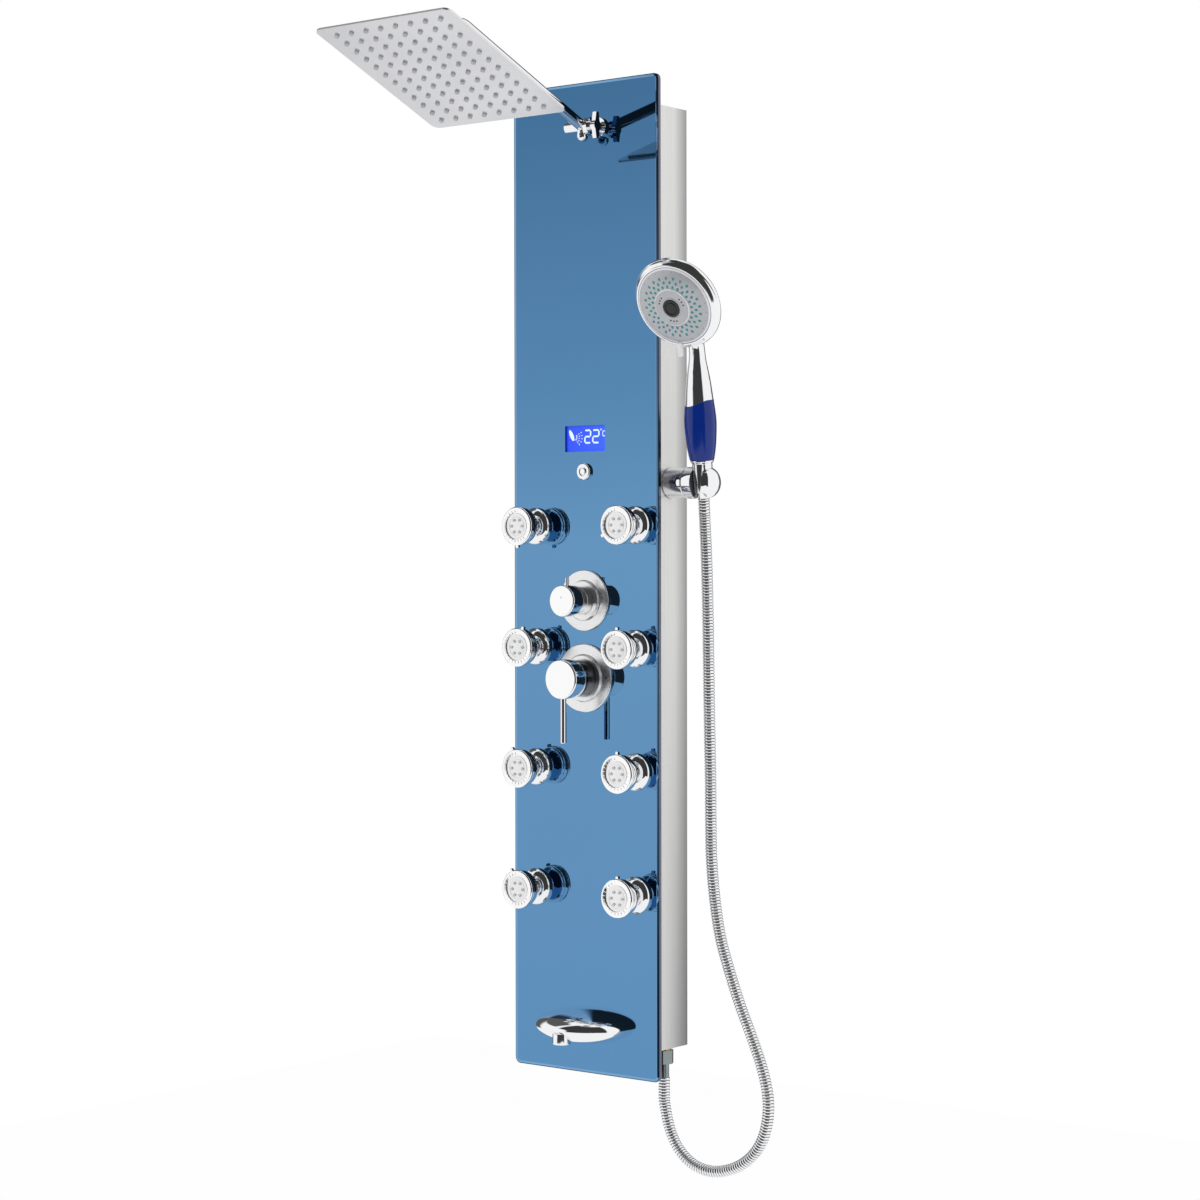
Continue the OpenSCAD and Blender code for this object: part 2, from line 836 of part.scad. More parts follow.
module lock_wing() {
    color([0.85, 0.86, 0.88])
        on_panel(arm_x, arm_h)
            difference() {
                translate([cross_right + ball_gap, 0, hinge_out])
                    rotate([right_angle, 0, right_angle])
                        union() {
                            cylinder(r = lock_hub_r, h = lock_hub_len);
                            translate([0, 0, lock_hub_len - lock_wing_t])
                                linear_extrude(lock_wing_t)
                                    polygon([
                                        [0, lock_wing_w / 2], [lock_wing_r, lock_tip_w / 2],
                                        [lock_wing_r, -lock_tip_w / 2], [0, -lock_wing_w / 2],
                                        [-lock_wing_r, -lock_tip_w / 2], [-lock_wing_r, lock_tip_w / 2]
                                    ]);
                        }
                across_bar(0, hinge_out, cross_right, cross_right + lock_pin_len + loose, lock_pin_r + fit);
            }
}

module rain_arm() {
    ball_z = plate_to_ball - arm_drop;
    color([0.85, 0.86, 0.88])
        on_arm()
            difference() {
                union() {
                    translate([-cross_left, 0, 0])
                        rotate([0, right_angle, 0])
                            cylinder(r = cross_r, h = cross_left + cross_right);
                    translate([cross_right, 0, 0])
                        rotate([0, right_angle, 0])
                            cylinder(r = lock_pin_r, h = lock_pin_len);
                    rotate([arm_rise, 0, 0])
                        translate([0, 0, -plug_drop]) {
                            cylinder(r = cross_r, h = plug_drop);
                            sphere(r = plug_r);
                        }
                    rotate([right_angle, 0, 0])
                        cylinder(r = arm_r, h = arm_len - elbow_r);
                    translate([0, elbow_r - arm_len, -elbow_r])
                        rotate([2 * right_angle, -right_angle, 0])
                            rotate_extrude(angle = right_angle)
                                translate([elbow_r, 0])
                                    circle(r = arm_r);
                    translate([0, -arm_len, ball_z + cup_high])
                        cylinder(r = arm_r, h = -elbow_r - ball_z - cup_high);
                    translate([0, -arm_len, ball_z + cup_low])
                        cylinder(r = cup_r, h = cup_high - cup_low);
                }
                translate([0, -arm_len, ball_z])
                    sphere(r = swivel_r + ball_gap);
            }
}

module on_plate(up = 0) {
    on_arm()
        translate([0, -arm_len, up - arm_drop])
            children();
}

module swivel_ball() {
    color([0.8, 0.8, 0.82])
        on_plate(plate_to_ball)
            sphere(r = swivel_r);
}

module swivel_nut() {
    foot = rain_plate_t + rain_pan_t;
    color([0.85, 0.86, 0.88])
        on_plate()
            difference() {
                translate([0, 0, foot])
                    cylinder(r = nut_r, h = plate_to_ball - nut_top - foot);
                translate([0, 0, plate_to_ball])
                    sphere(r = swivel_r + ball_gap);
            }
}

module rain_head() {
    pan_w = rain_w - 2 * rain_pan_inset;
    pan_l = rain_l - 2 * rain_pan_inset;
    color([0.85, 0.86, 0.88])
        on_plate()
            difference() {
                union() {
                    linear_extrude(rain_plate_t)
                        rounded_outline(rain_w, rain_l, rain_corner_r);
                    translate([0, 0, rain_plate_t])
                        linear_extrude(rain_pan_t)
                            rounded_outline(pan_w, pan_l, rain_corner_r);
                }
                translate([0, 0, rain_skin])
                    linear_extrude(rain_plate_t + rain_pan_t - 2 * rain_skin)
                        rounded_outline(pan_w - 2 * rain_skin, pan_l - 2 * rain_skin, rain_corner_r);
            }
}

module rain_nozzles() {
    color([0.6, 0.6, 0.62])
        on_plate(-nozzle_out)
            for (col = [0:nozzle_cols - 1])
                for (row = [0:nozzle_rows - 1])
                    translate([(col - (nozzle_cols - 1) / 2) * nozzle_pitch_x,
                               (row - (nozzle_rows - 1) / 2) * nozzle_pitch_l, 0])
                        cylinder(r1 = nozzle_tip_r, r2 = nozzle_r, h = nozzle_out);
}

// Holder on the casing's right side
module holder_base() {
    base_end = casing_half_w + holder_base_len;
    color([0.85, 0.86, 0.88])
        on_panel()
            union() {
                across_bar(holder_h, -wall_depth - holder_y, casing_half_w, base_end, holder_r);
                across_bar(holder_h, -wall_depth - holder_y, base_end, base_end + holder_pin_len, holder_pin_r);
            }
}

module handle_cone(gap) {
    t = handle_len * cone_share;
    on_handle()
        cylinder(r1 = handle_r * end_r_share + gap, r2 = handle_r * cone_r_share + gap, h = t);
}

module holder_clip() {
    start = casing_half_w + holder_base_len + holder_shadow_gap;
    stop = holder_x + holder_end;
    depth = -wall_depth - holder_y;
    color([0.85, 0.86, 0.88])
        difference() {
            on_panel() {
                across_bar(holder_h, depth, start, stop - holder_dome, holder_r);
                translate([stop - holder_dome, holder_h, depth])
                    rotate([0, right_angle, 0])
                        cylinder(r1 = holder_r, r2 = holder_r - holder_dome, h = holder_dome);
            }
            on_panel()
                across_bar(holder_h, depth, start - cut, casing_half_w + holder_base_len + holder_pin_len + loose,
                           holder_pin_r + fit);
            handle_cone(ball_gap);
            on_handle() {
                translate([-holder_slot_w / 2, -2 * holder_r, -2 * holder_r])
                    cube([holder_slot_w, 2 * holder_r, handle_len / 2]);
                translate([0, 0, -holder_r])
                    cylinder(r = handle_r * end_r_share + ball_gap, h = holder_r);
            }
        }
}

// Hand shower
function handle_points(shares) = [for (s = shares) [s[1] * handle_r, s[0] * handle_len]];

module handset_body() {
    core_r = handle_r * core_r_share;
    neck = handle_points(neck_shares);
    color([0.85, 0.86, 0.88]) {
        union() {
            on_handle()
                difference() {
                    union() {
                        cylinder(r1 = handle_r * end_r_share, r2 = handle_r * cone_r_share,
                                 h = handle_len * cone_share);
                        translate([0, 0, handle_len * cone_share - cut])
                            cylinder(r = core_r, h = handle_len * (grip_share - cone_share) + 2 * cut);
                        rotate_extrude()
                            polygon(concat([[0, handle_len * grip_share]], neck, [[0, handle_len]]));
                    }
                    translate([0, 0, -cut])
                        cylinder(r = hose_bore_r, h = handle_len * grip_share);
                }
            on_hand_head()
                difference() {
                    rotate_extrude()
                        polygon(concat(
                            [for (s = hand_dome_shares) [s[0] * hand_head_r, -hand_bevel_d - s[1] * hand_dome_t]],
                            [[hand_head_r, -hand_bevel_d]],
                            [for (s = hand_bevel_shares) [hand_lip_r + s[0] * hand_bevel_w, -s[1] * hand_bevel_d]],
                            [[hand_lip_r, hand_lip_out], [0, hand_lip_out]]
                        ));
                    translate([0, 0, -hand_face_t])
                        cylinder(r = hand_face_r + ball_gap, h = hand_face_t + hand_lip_out + cut);
                    translate([0, 0, -hand_face_t - hand_face_pin_len - cut])
                        cylinder(r = hand_face_pin_r + fit, h = hand_face_pin_len + 2 * cut);
                }
            hull() {
                on_handle()
                    translate([0, 0, handle_len - neck_bridge_r])
                        sphere(r = neck_bridge_r, $fn = hull_sides);
                on_hand_head()
                    translate([0, -hand_head_r / 2, -hand_dome_t])
                        sphere(r = neck_bridge_r, $fn = hull_sides);
            }
        }
    }
}

module handset_grip() {
    core_r = handle_r * core_r_share + fit;
    grip = handle_points(grip_shares);
    color([0.1, 0.2, 0.6])
        on_handle()
            rotate_extrude()
                polygon(concat([[core_r, handle_len * grip_share], [core_r, grip[0][1]]], grip));
}

module handset_face() {
    color([0.62, 0.65, 0.68])
        on_hand_head()
            union() {
                rotate_extrude()
                    polygon(concat(
                        [[0, ball_gap - hand_face_t], [hand_face_r, ball_gap - hand_face_t]],
                        [for (s = hand_face_shares) [s[0] * hand_face_r, s[1] * hand_face_dome]]
                    ));
                translate([0, 0, -hand_face_t - hand_face_pin_len])
                    cylinder(r = hand_face_pin_r, h = hand_face_pin_len + hand_face_t);
                rotate([0, 0, hand_tab_turn])
                    translate([-hand_tab_w / 2, -hand_head_r - hand_tab_len, hand_lip_out + ball_gap])
                        cube([hand_tab_w, hand_tab_len + hand_head_r - hand_tab_root_share * hand_face_r, hand_tab_t]);
            }
}

module handset_button() {
    color([0.1, 0.1, 0.1])
        on_hand_head()
            translate([0, 0, hand_face_dome])
                cylinder(r = hand_button_r, h = hand_button_t);
}

// Spout: half of a flattened ellipsoid
module spout() {
    spout_h = spout_above - half_h;
    color([0.85, 0.86, 0.88])
        on_panel(0, spout_h)
            difference() {
                union() {
                    intersection() {
                        scale([spout_half_w, spout_half_h, spout_out])
                            sphere(r = 1, $fn = spout_sides);
                        translate([-spout_half_w, -spout_half_h, 0])
                            cube([2 * spout_half_w, 2 * spout_half_h, spout_out]);
                    }
                    out_bar(0, 0, -jet_pipe_depth, cut, spout_tail_r);
                }
                up_bar(0, spout_out - aerator_back, -spout_half_h - cut, 0, aerator_top_r + fit);
                up_bar(0, spout_out - aerator_back, -spout_half_h - cut, -aerator_seat, aerator_r + fit);
            }
}

module aerator() {
    spout_h = spout_above - half_h;
    color([0.8, 0.81, 0.83])
        on_panel(0, spout_h)
            union() {
                up_bar(0, spout_out - aerator_back, -aerator_seat - cut, 0, aerator_top_r);
                up_bar(0, spout_out - aerator_back, -aerator_seat - aerator_len, -aerator_seat, aerator_r);
            }
}

// Hose: a smooth line through the points, cut into even steps by its length
hose_points = concat(
    [for (k = [0:2]) hose_top + 2 * k * hose_r * hose_top_way],
    hose_hang,
    [for (k = [2:-1:0]) hose_end - 2 * k * hose_r * hose_end_way]
);
spline_steps = 6;

function knot(i) = hose_points[max(0, min(len(hose_points) - 1, i))];
function spline(i, t) =
    ((2 * knot(i)) + (knot(i + 1) - knot(i - 1)) * t
     + (2 * knot(i - 1) - 5 * knot(i) + 4 * knot(i + 1) - knot(i + 2)) * t * t
     + (3 * knot(i) - knot(i - 1) - 3 * knot(i + 1) + knot(i + 2)) * t * t * t) / 2;
hose_line = concat(
    [for (i = [0:len(hose_points) - 2]) for (k = [0:spline_steps - 1]) spline(i, k / spline_steps)],
    [hose_points[len(hose_points) - 1]]
);
hose_ways = [for (i = 0, s = 0; i < len(hose_line);
                  s = s + (i + 1 < len(hose_line) ? norm(hose_line[i + 1] - hose_line[i]) : 0), i = i + 1) s];
hose_len = hose_ways[len(hose_ways) - 1];

function hose_at(s) = [for (axis = [0:2]) lookup(s, [for (i = [0:len(hose_line) - 1]) [hose_ways[i], hose_line[i][axis]]])];
function unit(v) = v / norm(v);
function hose_way(s) =
    s <= 2 * hose_r ? hose_top_way
    : s >= hose_len - 2 * hose_r ? -hose_end_way
    : unit(hose_at(s + hose_r / 2) - hose_at(s - hose_r / 2));
function hose_ring(s, r) =
    let (way = hose_way(s), side = unit(cross(way, [0, 1, 0])), deep = cross(side, way), mid = hose_at(s))
    [for (k = [0:hose_sides - 1]) mid + r * (cos(k * 360 / hose_sides) * side + sin(k * 360 / hose_sides) * deep)];

// Skins of a tube: rings joined by triangles, seen from outside or from inside
function skin(rings, start, flip) =
    [for (i = [0:rings - 2]) for (k = [0:hose_sides - 1])
        let (a = start + i * hose_sides + k, b = start + i * hose_sides + (k + 1) % hose_sides)
        each flip ? [[a, b + hose_sides, b], [a, a + hose_sides, b + hose_sides]]
                  : [[a, b, b + hose_sides], [a, b + hose_sides, a + hose_sides]]];
function end_face(outer, inner, flip) =
    [for (k = [0:hose_sides - 1])
        let (n = (k + 1) % hose_sides)
        each flip ? [[outer + k, outer + n, inner + n], [outer + k, inner + n, inner + k]]
                  : [[outer + k, inner + n, outer + n], [outer + k, inner + k, inner + n]]];

module hose() {
    pitch = (hose_len - 4 * hose_r) / hose_ribs;
    stations = concat(
        [0],
        [for (i = [0:hose_ribs - 1]) each [2 * hose_r + i * pitch, 2 * hose_r + (i + 1 / 2) * pitch]],
        [hose_len - 2 * hose_r, hose_len]
    );
    radii = concat([hose_r], [for (i = [0:hose_ribs - 1]) each [hose_valley_r, hose_r]], [hose_valley_r, hose_r]);
    outer = [for (i = [0:len(stations) - 1]) each hose_ring(stations[i], radii[i])];
    inner = [for (i = [0:bore_rings - 1]) each hose_ring(i * hose_len / (bore_rings - 1), hose_bore_r)];
    first = len(outer);
    last_outer = (len(stations) - 1) * hose_sides;
    last_inner = first + (bore_rings - 1) * hose_sides;
    color([0.75, 0.76, 0.78])
        polyhedron(
            points = concat(outer, inner),
            faces = concat(
                skin(len(stations), 0, false), skin(bore_rings, first, true),
                end_face(0, first, false), end_face(last_outer, last_inner, true)
            )
        );
}

module hose_nut() {
    top = -casing_h / 2 - nipple_len;
    depth = -wall_depth - holder_y;
    color([0.85, 0.86, 0.88])
        on_panel()
            union() {
                translate([outlet_x, top, depth])
                    rotate([right_angle, 0, 0])
                        cylinder(r = hose_nut_r, h = hose_nut_len, $fn = 6);
                up_bar(outlet_x, depth, top - hose_nut_len - hose_sleeve_len, top - hose_nut_len, hose_sleeve_r);
            }
}

module hose_cone() {
    color([0.85, 0.86, 0.88])
        on_handle()
            translate([0, 0, -hose_cone_len])
                cylinder(r1 = hose_cone_tip_r, r2 = hose_cone_r, h = hose_cone_len);
}

// Body jets: eight sockets, and a swivelling head with a turning face ring on each
module jet_sockets() {
    color([0.85, 0.86, 0.88])
        for (i = [0:jet_count - 1])
            on_jet(i)
                union() {
                    out_bar(0, 0, -jet_pipe_depth + pipe_r + cut, 0, jet_tail_r);
                    rotate_extrude()
                        polygon(concat([[0, 0]], [for (s = jet_base_shares) [s[0] * jet_base_r, s[1] * jet_base_t]]));
                    out_bar(0, 0, 0, jet_ball_out, jet_stem_r);
                    translate([0, 0, jet_ball_out])
                        sphere(r = jet_ball_r);
                }
}

module jet_head(i) {
    color([0.85, 0.86, 0.88])
        on_jet(i)
            difference() {
                rotate_extrude()
                    polygon(concat(
                        [[0, jet_collar_out]],
                        [for (s = jet_back_shares)
                            [s[0] * jet_body_r, jet_collar_out + s[1] * (jet_split_out - jet_collar_out)]],
                        [[jet_body_r, jet_split_out], [0, jet_split_out]]
                    ));
                translate([0, 0, jet_ball_out])
                    sphere(r = jet_ball_r + ball_gap);
                out_bar(0, 0, jet_split_out - jet_spigot_len - ball_gap, jet_split_out + cut, jet_spigot_r + fit);
            }
}

module jet_ring(i) {
    low = jet_split_out + ball_gap;
    color([0.9, 0.9, 0.92])
        on_jet(i)
            union() {
                out_bar(0, 0, jet_split_out - jet_spigot_len, low, jet_spigot_r);
                rotate_extrude()
                    polygon([
                        [0, low], [jet_r - edge_round, low], [jet_r, low + edge_round],
                        [jet_r, jet_out - 2 * edge_round], [jet_r - 2 * edge_round, jet_out],
                        [jet_insert_r, jet_out - jet_insert_out], [0, jet_out - jet_insert_out]
                    ]);
                for (k = [0:jet_nozzles - 1])
                    rotate([0, 0, k * 360 / jet_nozzles])
                        out_bar(jet_nozzle_ring_r, 0, jet_out - jet_insert_out,
                                jet_out - jet_insert_out + jet_nozzle_out, jet_nozzle_r);
                rotate([0, 0, jet_tab_turns[i]])
                    translate([jet_r - edge_round, -jet_tab_w / 2, jet_out - jet_tab_t - 3 * edge_round])
                        cube([jet_tab_out, jet_tab_w, jet_tab_t]);
            }
}

glass_panel();
casing_channel();
end_caps();
wall_brackets();
valve_body();
rain_pipe();
jet_pipes();
outlet_pipes();
mixer_cartridge();
mixer_plate();
mixer_bonnet();
mixer_carrier();
mixer_stem();
mixer_knob();
mixer_lever();
diverter_cartridge();
diverter_plate();
diverter_knob();
diverter_pin();
display_housing();
display_window();
button_ring();
push_button();
arm_bracket();
lock_wing();
rain_arm();
swivel_ball();
swivel_nut();
rain_head();
rain_nozzles();
holder_base();
holder_clip();
handset_body();
handset_grip();
handset_face();
handset_button();
hose();
hose_nut();
hose_cone();
spout();
aerator();
jet_sockets();
for (i = [0:jet_count - 1])
    jet_head(i);
for (i = [0:jet_count - 1])
    jet_ring(i);
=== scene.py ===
"""The shower panel column's looks: camera, materials, finer pieces, floor and light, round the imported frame."""
import json
import math

import bmesh
import bpy
from mathutils import Matrix, Vector


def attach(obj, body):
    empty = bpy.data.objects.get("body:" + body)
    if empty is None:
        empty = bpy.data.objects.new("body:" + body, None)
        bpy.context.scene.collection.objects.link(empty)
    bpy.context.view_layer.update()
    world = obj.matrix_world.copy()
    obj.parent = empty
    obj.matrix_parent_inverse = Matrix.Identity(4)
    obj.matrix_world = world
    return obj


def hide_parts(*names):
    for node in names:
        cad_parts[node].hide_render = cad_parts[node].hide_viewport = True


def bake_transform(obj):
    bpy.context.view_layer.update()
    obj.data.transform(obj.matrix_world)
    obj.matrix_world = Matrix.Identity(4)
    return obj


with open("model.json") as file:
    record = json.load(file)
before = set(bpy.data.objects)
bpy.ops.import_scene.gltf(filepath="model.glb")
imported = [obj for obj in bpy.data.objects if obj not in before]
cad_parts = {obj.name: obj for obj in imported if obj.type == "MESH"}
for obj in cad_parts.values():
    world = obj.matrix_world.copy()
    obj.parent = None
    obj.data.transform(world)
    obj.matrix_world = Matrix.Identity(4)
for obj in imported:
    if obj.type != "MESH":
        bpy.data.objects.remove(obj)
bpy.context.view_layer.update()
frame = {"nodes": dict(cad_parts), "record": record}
scene = bpy.context.scene

# Lengths are in millimetres until a mesh is made. GLASS_Y is the glass's face, and the glass's middle is
# ORIGIN_H below the origin. M holds the materials by name.
MM = 0.001
GLASS_Y = -76.0
ORIGIN_H = 500.0
M = {}


def turn(axis, degrees):
    return Matrix.Rotation(math.radians(degrees), 4, axis)


def move(x, y, z):
    return Matrix.Translation(Vector((x, y, z)))


def on_panel(x=0.0, h=0.0):
    """Millimetres on the glass: X right, Y up, Z out of the glass."""
    return move(x, GLASS_Y, h - ORIGIN_H) @ turn("X", 90)


# The hand shower's handle and head, the rain arm, and the rain head's plate
HANDLE = move(161, -35, 124.2 - ORIGIN_H) @ turn("X", 8) @ turn("Y", 2.5) @ turn("Z", 4) @ move(0, 0, -13)
HEAD = HANDLE @ move(0, -48.6, 243.2) @ turn("X", 110.5)
ARM = move(14, -98, 88) @ turn("X", -22)
PLATE = ARM @ move(0, -271, -74.8)


def linear(r, g, b):
    """A colour as it looks on screen, 0 to 255, as the shader's linear numbers."""
    out = []
    for v in (r, g, b):
        v /= 255
        out.append(v / 12.92 if v <= 0.04045 else ((v + 0.055) / 1.055) ** 2.4)
    return (*out, 1.0)


def through(points, steps=6):
    """A smooth line through the points."""
    pts = [Vector(p) for p in points]
    out = []
    for i in range(len(pts) - 1):
        p0, p1, p2, p3 = pts[max(i - 1, 0)], pts[i], pts[i + 1], pts[min(i + 2, len(pts) - 1)]
        for k in range(steps):
            t = k / steps
            out.append((2 * p1 + (p2 - p0) * t + (2 * p0 - 5 * p1 + 4 * p2 - p3) * t * t
                        + (3 * p1 - p0 - 3 * p2 + p3) * t ** 3) / 2)
    out.append(pts[-1])
    return out


def soften(profile, radius=0.5, steps=3):
    """Rounds a profile's corners. A point may carry its own radius as a third number."""
    out = [Vector(profile[0][:2])]
    for a, p, b in zip(profile, profile[1:], profile[2:]):
        size = p[2] if len(p) > 2 else radius
        a, p, b = Vector(a[:2]), Vector(p[:2]), Vector(b[:2])
        la, lb = (a - p).length, (b - p).length
        k = min(size, 0.45 * la, 0.45 * lb)
        if k < 0.01:
            out.append(p)
            continue
        start, end = p + (a - p) * k / la, p + (b - p) * k / lb
        for i in range(steps + 1):
            t = i / steps
            out.append(start * (1 - t) ** 2 + p * 2 * t * (1 - t) + end * t * t)
    out.append(Vector(profile[-1][:2]))
    return out


def turns(sides):
    """The angles of so many points round a circle."""
    return [2 * math.pi * k / sides for k in range(sides)]


def arc(r, z, start, stop, steps):
    """Part of a circle round the axis point z, as profile points."""
    angles = [math.radians(start + (stop - start) * i / steps) for i in range(steps + 1)]
    return [Vector((r * math.cos(a), z + r * math.sin(a))) for a in angles]


def ring_round(mid, way, radius, sides):
    """A ring of points round a line that runs in the direction way."""
    across = way.cross(Vector((0, 1, 0))).normalized()
    deep = across.cross(way)
    return [mid + radius * (math.cos(a) * across + math.sin(a) * deep) for a in turns(sides)]


class Shape:
    """Gathers surfaces in millimetres, which become one mesh."""

    def __init__(self):
        self.verts, self.faces, self.mats = [], [], []

    def add(self, verts, faces, place=None, mat=0):
        base = len(self.verts)
        place = place or Matrix()
        self.verts += [place @ Vector(v) for v in verts]
        self.faces += [[base + i for i in f] for f in faces]
        self.mats += [mat] * len(faces)

    def rings(self, rings, place=None, mat=0):
        """Joins rings of the same number of points and closes both ends."""
        n, last = len(rings[0]), len(rings) - 1
        faces = []
        for a in range(0, last * n, n):
            faces += [[a + k, a + (k + 1) % n, a + n + (k + 1) % n, a + n + k] for k in range(n)]
        faces += [list(range(n)), list(range(last * n, last * n + n))]
        self.add([v for r in rings for v in r], faces, place, mat)

    def lathe(self, profile, place, sides, mat=0, closed=False, squash=(1, 1)):
        """Turns a profile of (radius, height) points round the local Z axis."""
        verts, faces, rows = [], [], []
        for p in profile:
            r, z = p[0], p[1]
            if r < 1e-4:
                rows.append([len(verts)] * sides)
                verts.append((0, 0, z))
            else:
                rows.append([len(verts) + k for k in range(sides)])
                verts += [(r * squash[0] * math.cos(a), r * squash[1] * math.sin(a), z) for a in turns(sides)]
        pairs = list(zip(rows, rows[1:])) + ([(rows[-1], rows[0])] if closed else [])
        for low, high in pairs:
            for k in range(sides):
                f = [low[k], low[(k + 1) % sides], high[(k + 1) % sides], high[k]]
                f = [v for i, v in enumerate(f) if v not in f[:i]]
                if len(f) > 2:
                    faces.append(f)
        self.add(verts, faces, place, mat)

    def tube(self, line, radii, sides):
        """A round bar along a line, with a radius for each of its points."""
        rings = []
        for i, (p, r) in enumerate(zip(line, radii)):
            way = (line[min(i + 1, len(line) - 1)] - line[max(i - 1, 0)]).normalized()
            rings.append(ring_round(p, way, r, sides))
        self.rings(rings)

    def slab(self, outline, low, high, place, mat=0, bevel=0.0):
        """A flat outline of (x, y) points, from low to high, with an optional small slope at the top."""
        n = len(outline)
        rows = [[(x, y, low) for x, y in outline], [(x, y, high - bevel) for x, y in outline]]
        if bevel:
            mid = Vector((sum(p[0] for p in outline) / n, sum(p[1] for p in outline) / n))
            inner = []
            for i, p in enumerate(outline):
                a, p, b = Vector(outline[i - 1]), Vector(p), Vector(outline[(i + 1) % n])
                e, f = (p - a).normalized(), (b - p).normalized()
                normal = Vector((-(e.y + f.y), e.x + f.x))
                if normal.length < 1e-6:
                    normal = mid - p
                inner.append(p + normal.normalized() * bevel)
            rows.append([(p.x, p.y, high) for p in inner])
        self.rings(rows, place, mat)

    def make(self, name, materials, body, slot, replaces=(), sharp=32, ride=True):
        """The mesh object. sharp is the angle in degrees from which an edge stays sharp."""
        mesh = bpy.data.meshes.new(name)
        mesh.from_pydata([v * MM for v in self.verts], [], self.faces)
        for m in materials if isinstance(materials, (list, tuple)) else [materials]:
            mesh.materials.append(m)
        mesh.polygons.foreach_set("material_index", self.mats)
        bm = bmesh.new()
        bm.from_mesh(mesh)
        bmesh.ops.recalc_face_normals(bm, faces=bm.faces)
        bm.to_mesh(mesh)
        bm.free()
        mesh.shade_smooth()
        mesh.set_sharp_from_angle(angle=math.radians(sharp))
        obj = bpy.data.objects.new(name, mesh)
        scene.collection.objects.link(obj)
        if ride:
            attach(obj, body)
        if replaces:
            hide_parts(*replaces)
        return obj


# Camera, at the photograph's place
CAMERA_AT = Vector((2.188, -2.877, -0.476))
LENS = 81.21
YAW, PITCH, ROLL = math.radians(37.68), math.radians(-0.837), math.radians(-0.083)
forward = Vector((-math.sin(YAW), math.cos(YAW), 0.0))
right = Vector((math.cos(YAW), math.sin(YAW), 0.0))
up = Vector((0.0, 0.0, 1.0))
look = forward * math.cos(PITCH) + up * math.sin(PITCH)
top = up * math.cos(PITCH) - forward * math.sin(PITCH)
side = right * math.cos(ROLL) + top * math.sin(ROLL)
head = top * math.cos(ROLL) - right * math.sin(ROLL)
camera = bpy.data.objects.new("camera", bpy.data.cameras.new("camera"))
scene.collection.objects.link(camera)
stand = Matrix((side, head, -look)).transposed().to_4x4()
stand.translation = CAMERA_AT
camera.matrix_world = stand
camera.data.lens = LENS
camera.data.sensor_width = 36.0
camera.data.clip_end = 60
scene.camera = camera


def put(tree, socket, value):
    """Links a socket to the value if that is a socket too, and sets it otherwise."""
    if isinstance(value, bpy.types.NodeSocket):
        tree.links.new(value, socket)
    else:
        socket.default_value = value


def add_node(tree, kind, inputs, props):
    n = tree.nodes.new(kind)
    for k, v in props.items():
        setattr(n, k, v)
    for k, v in inputs.items():
        put(tree, n.inputs[k], v)
    return n


class Surface:
    """A material on one Principled shader, kept in M. Its textures use object coordinates in metres."""

    def __init__(self, name, colour, rough, metal=0.0):
        self.mat = M[name] = bpy.data.materials.new(name)
        self.mat.use_nodes = True
        self.tree = self.mat.node_tree
        self.shader = self.tree.nodes["Principled BSDF"]
        self.set("Base Color", colour)
        self.set("Roughness", rough)
        self.set("Metallic", metal)
        self.mat.diffuse_color = colour
        self.colour = colour
        self.where = self.node("ShaderNodeTexCoord").outputs["Object"]

    def set(self, socket, value):
        self.shader.inputs[socket].default_value = value
        return self

    def node(self, kind, inputs=None, **props):
        return add_node(self.tree, kind, inputs or {}, props)

    def join(self, out, socket):
        self.tree.links.new(out, self.shader.inputs[socket])
        return self

    def along(self, axis):
        return self.node("ShaderNodeSeparateXYZ", {"Vector": self.where}).outputs[axis]

    def noise(self, scale, stretch=(1, 1, 1), detail=3.0):
        where = self.node("ShaderNodeMapping", {"Vector": self.where, "Scale": stretch}).outputs[0]
        noise = self.node("ShaderNodeTexNoise", {"Vector": where, "Scale": scale, "Detail": detail})
        return noise.outputs["Fac"]

    def span(self, value, low, high, start=0.0, stop=1.0):
        return self.node("ShaderNodeMapRange", {"Value": value, "From Min": start, "From Max": stop,
                                                "To Min": low, "To Max": high}).outputs[0]

    def mix(self, share, a, b):
        return self.node("ShaderNodeMix", {0: share, 6: a, 7: b}, data_type="RGBA").outputs[2]

    def ramp(self, value, stops):
        """Colours along a value from 0 to 1. stops are pairs of a place and a colour."""
        n = self.node("ShaderNodeValToRGB", {"Fac": value})
        marks = n.color_ramp.elements
        (marks[0].position, marks[0].color), (marks[1].position, marks[1].color) = stops[0], stops[-1]
        for place, colour in stops[1:-1]:
            marks.new(place).color = colour
        return n.outputs["Color"]

    def mottle(self, scale, amount, tint=None):
        """Slow changes of the base colour."""
        other = tint or tuple(x * (1 - amount) for x in self.colour[:3]) + (1.0,)
        share = self.span(self.noise(scale), 0.0, 1.0, 0.35, 0.65)
        return self.join(self.mix(share, self.colour, other), "Base Color")

    def worn(self, scale, low, high, stretch=(1, 1, 1)):
        """Roughness that changes over the surface."""
        return self.join(self.span(self.noise(scale, stretch), low, high, 0.3, 0.7), "Roughness")

    def grain(self, scale, depth, stretch=(1, 1, 1)):
        """Fine relief, depth in metres."""
        relief = self.node("ShaderNodeBump", {"Height": self.noise(scale, stretch, 2.0), "Distance": depth,
                                              "Strength": 1.0})
        return self.join(relief.outputs[0], "Normal")


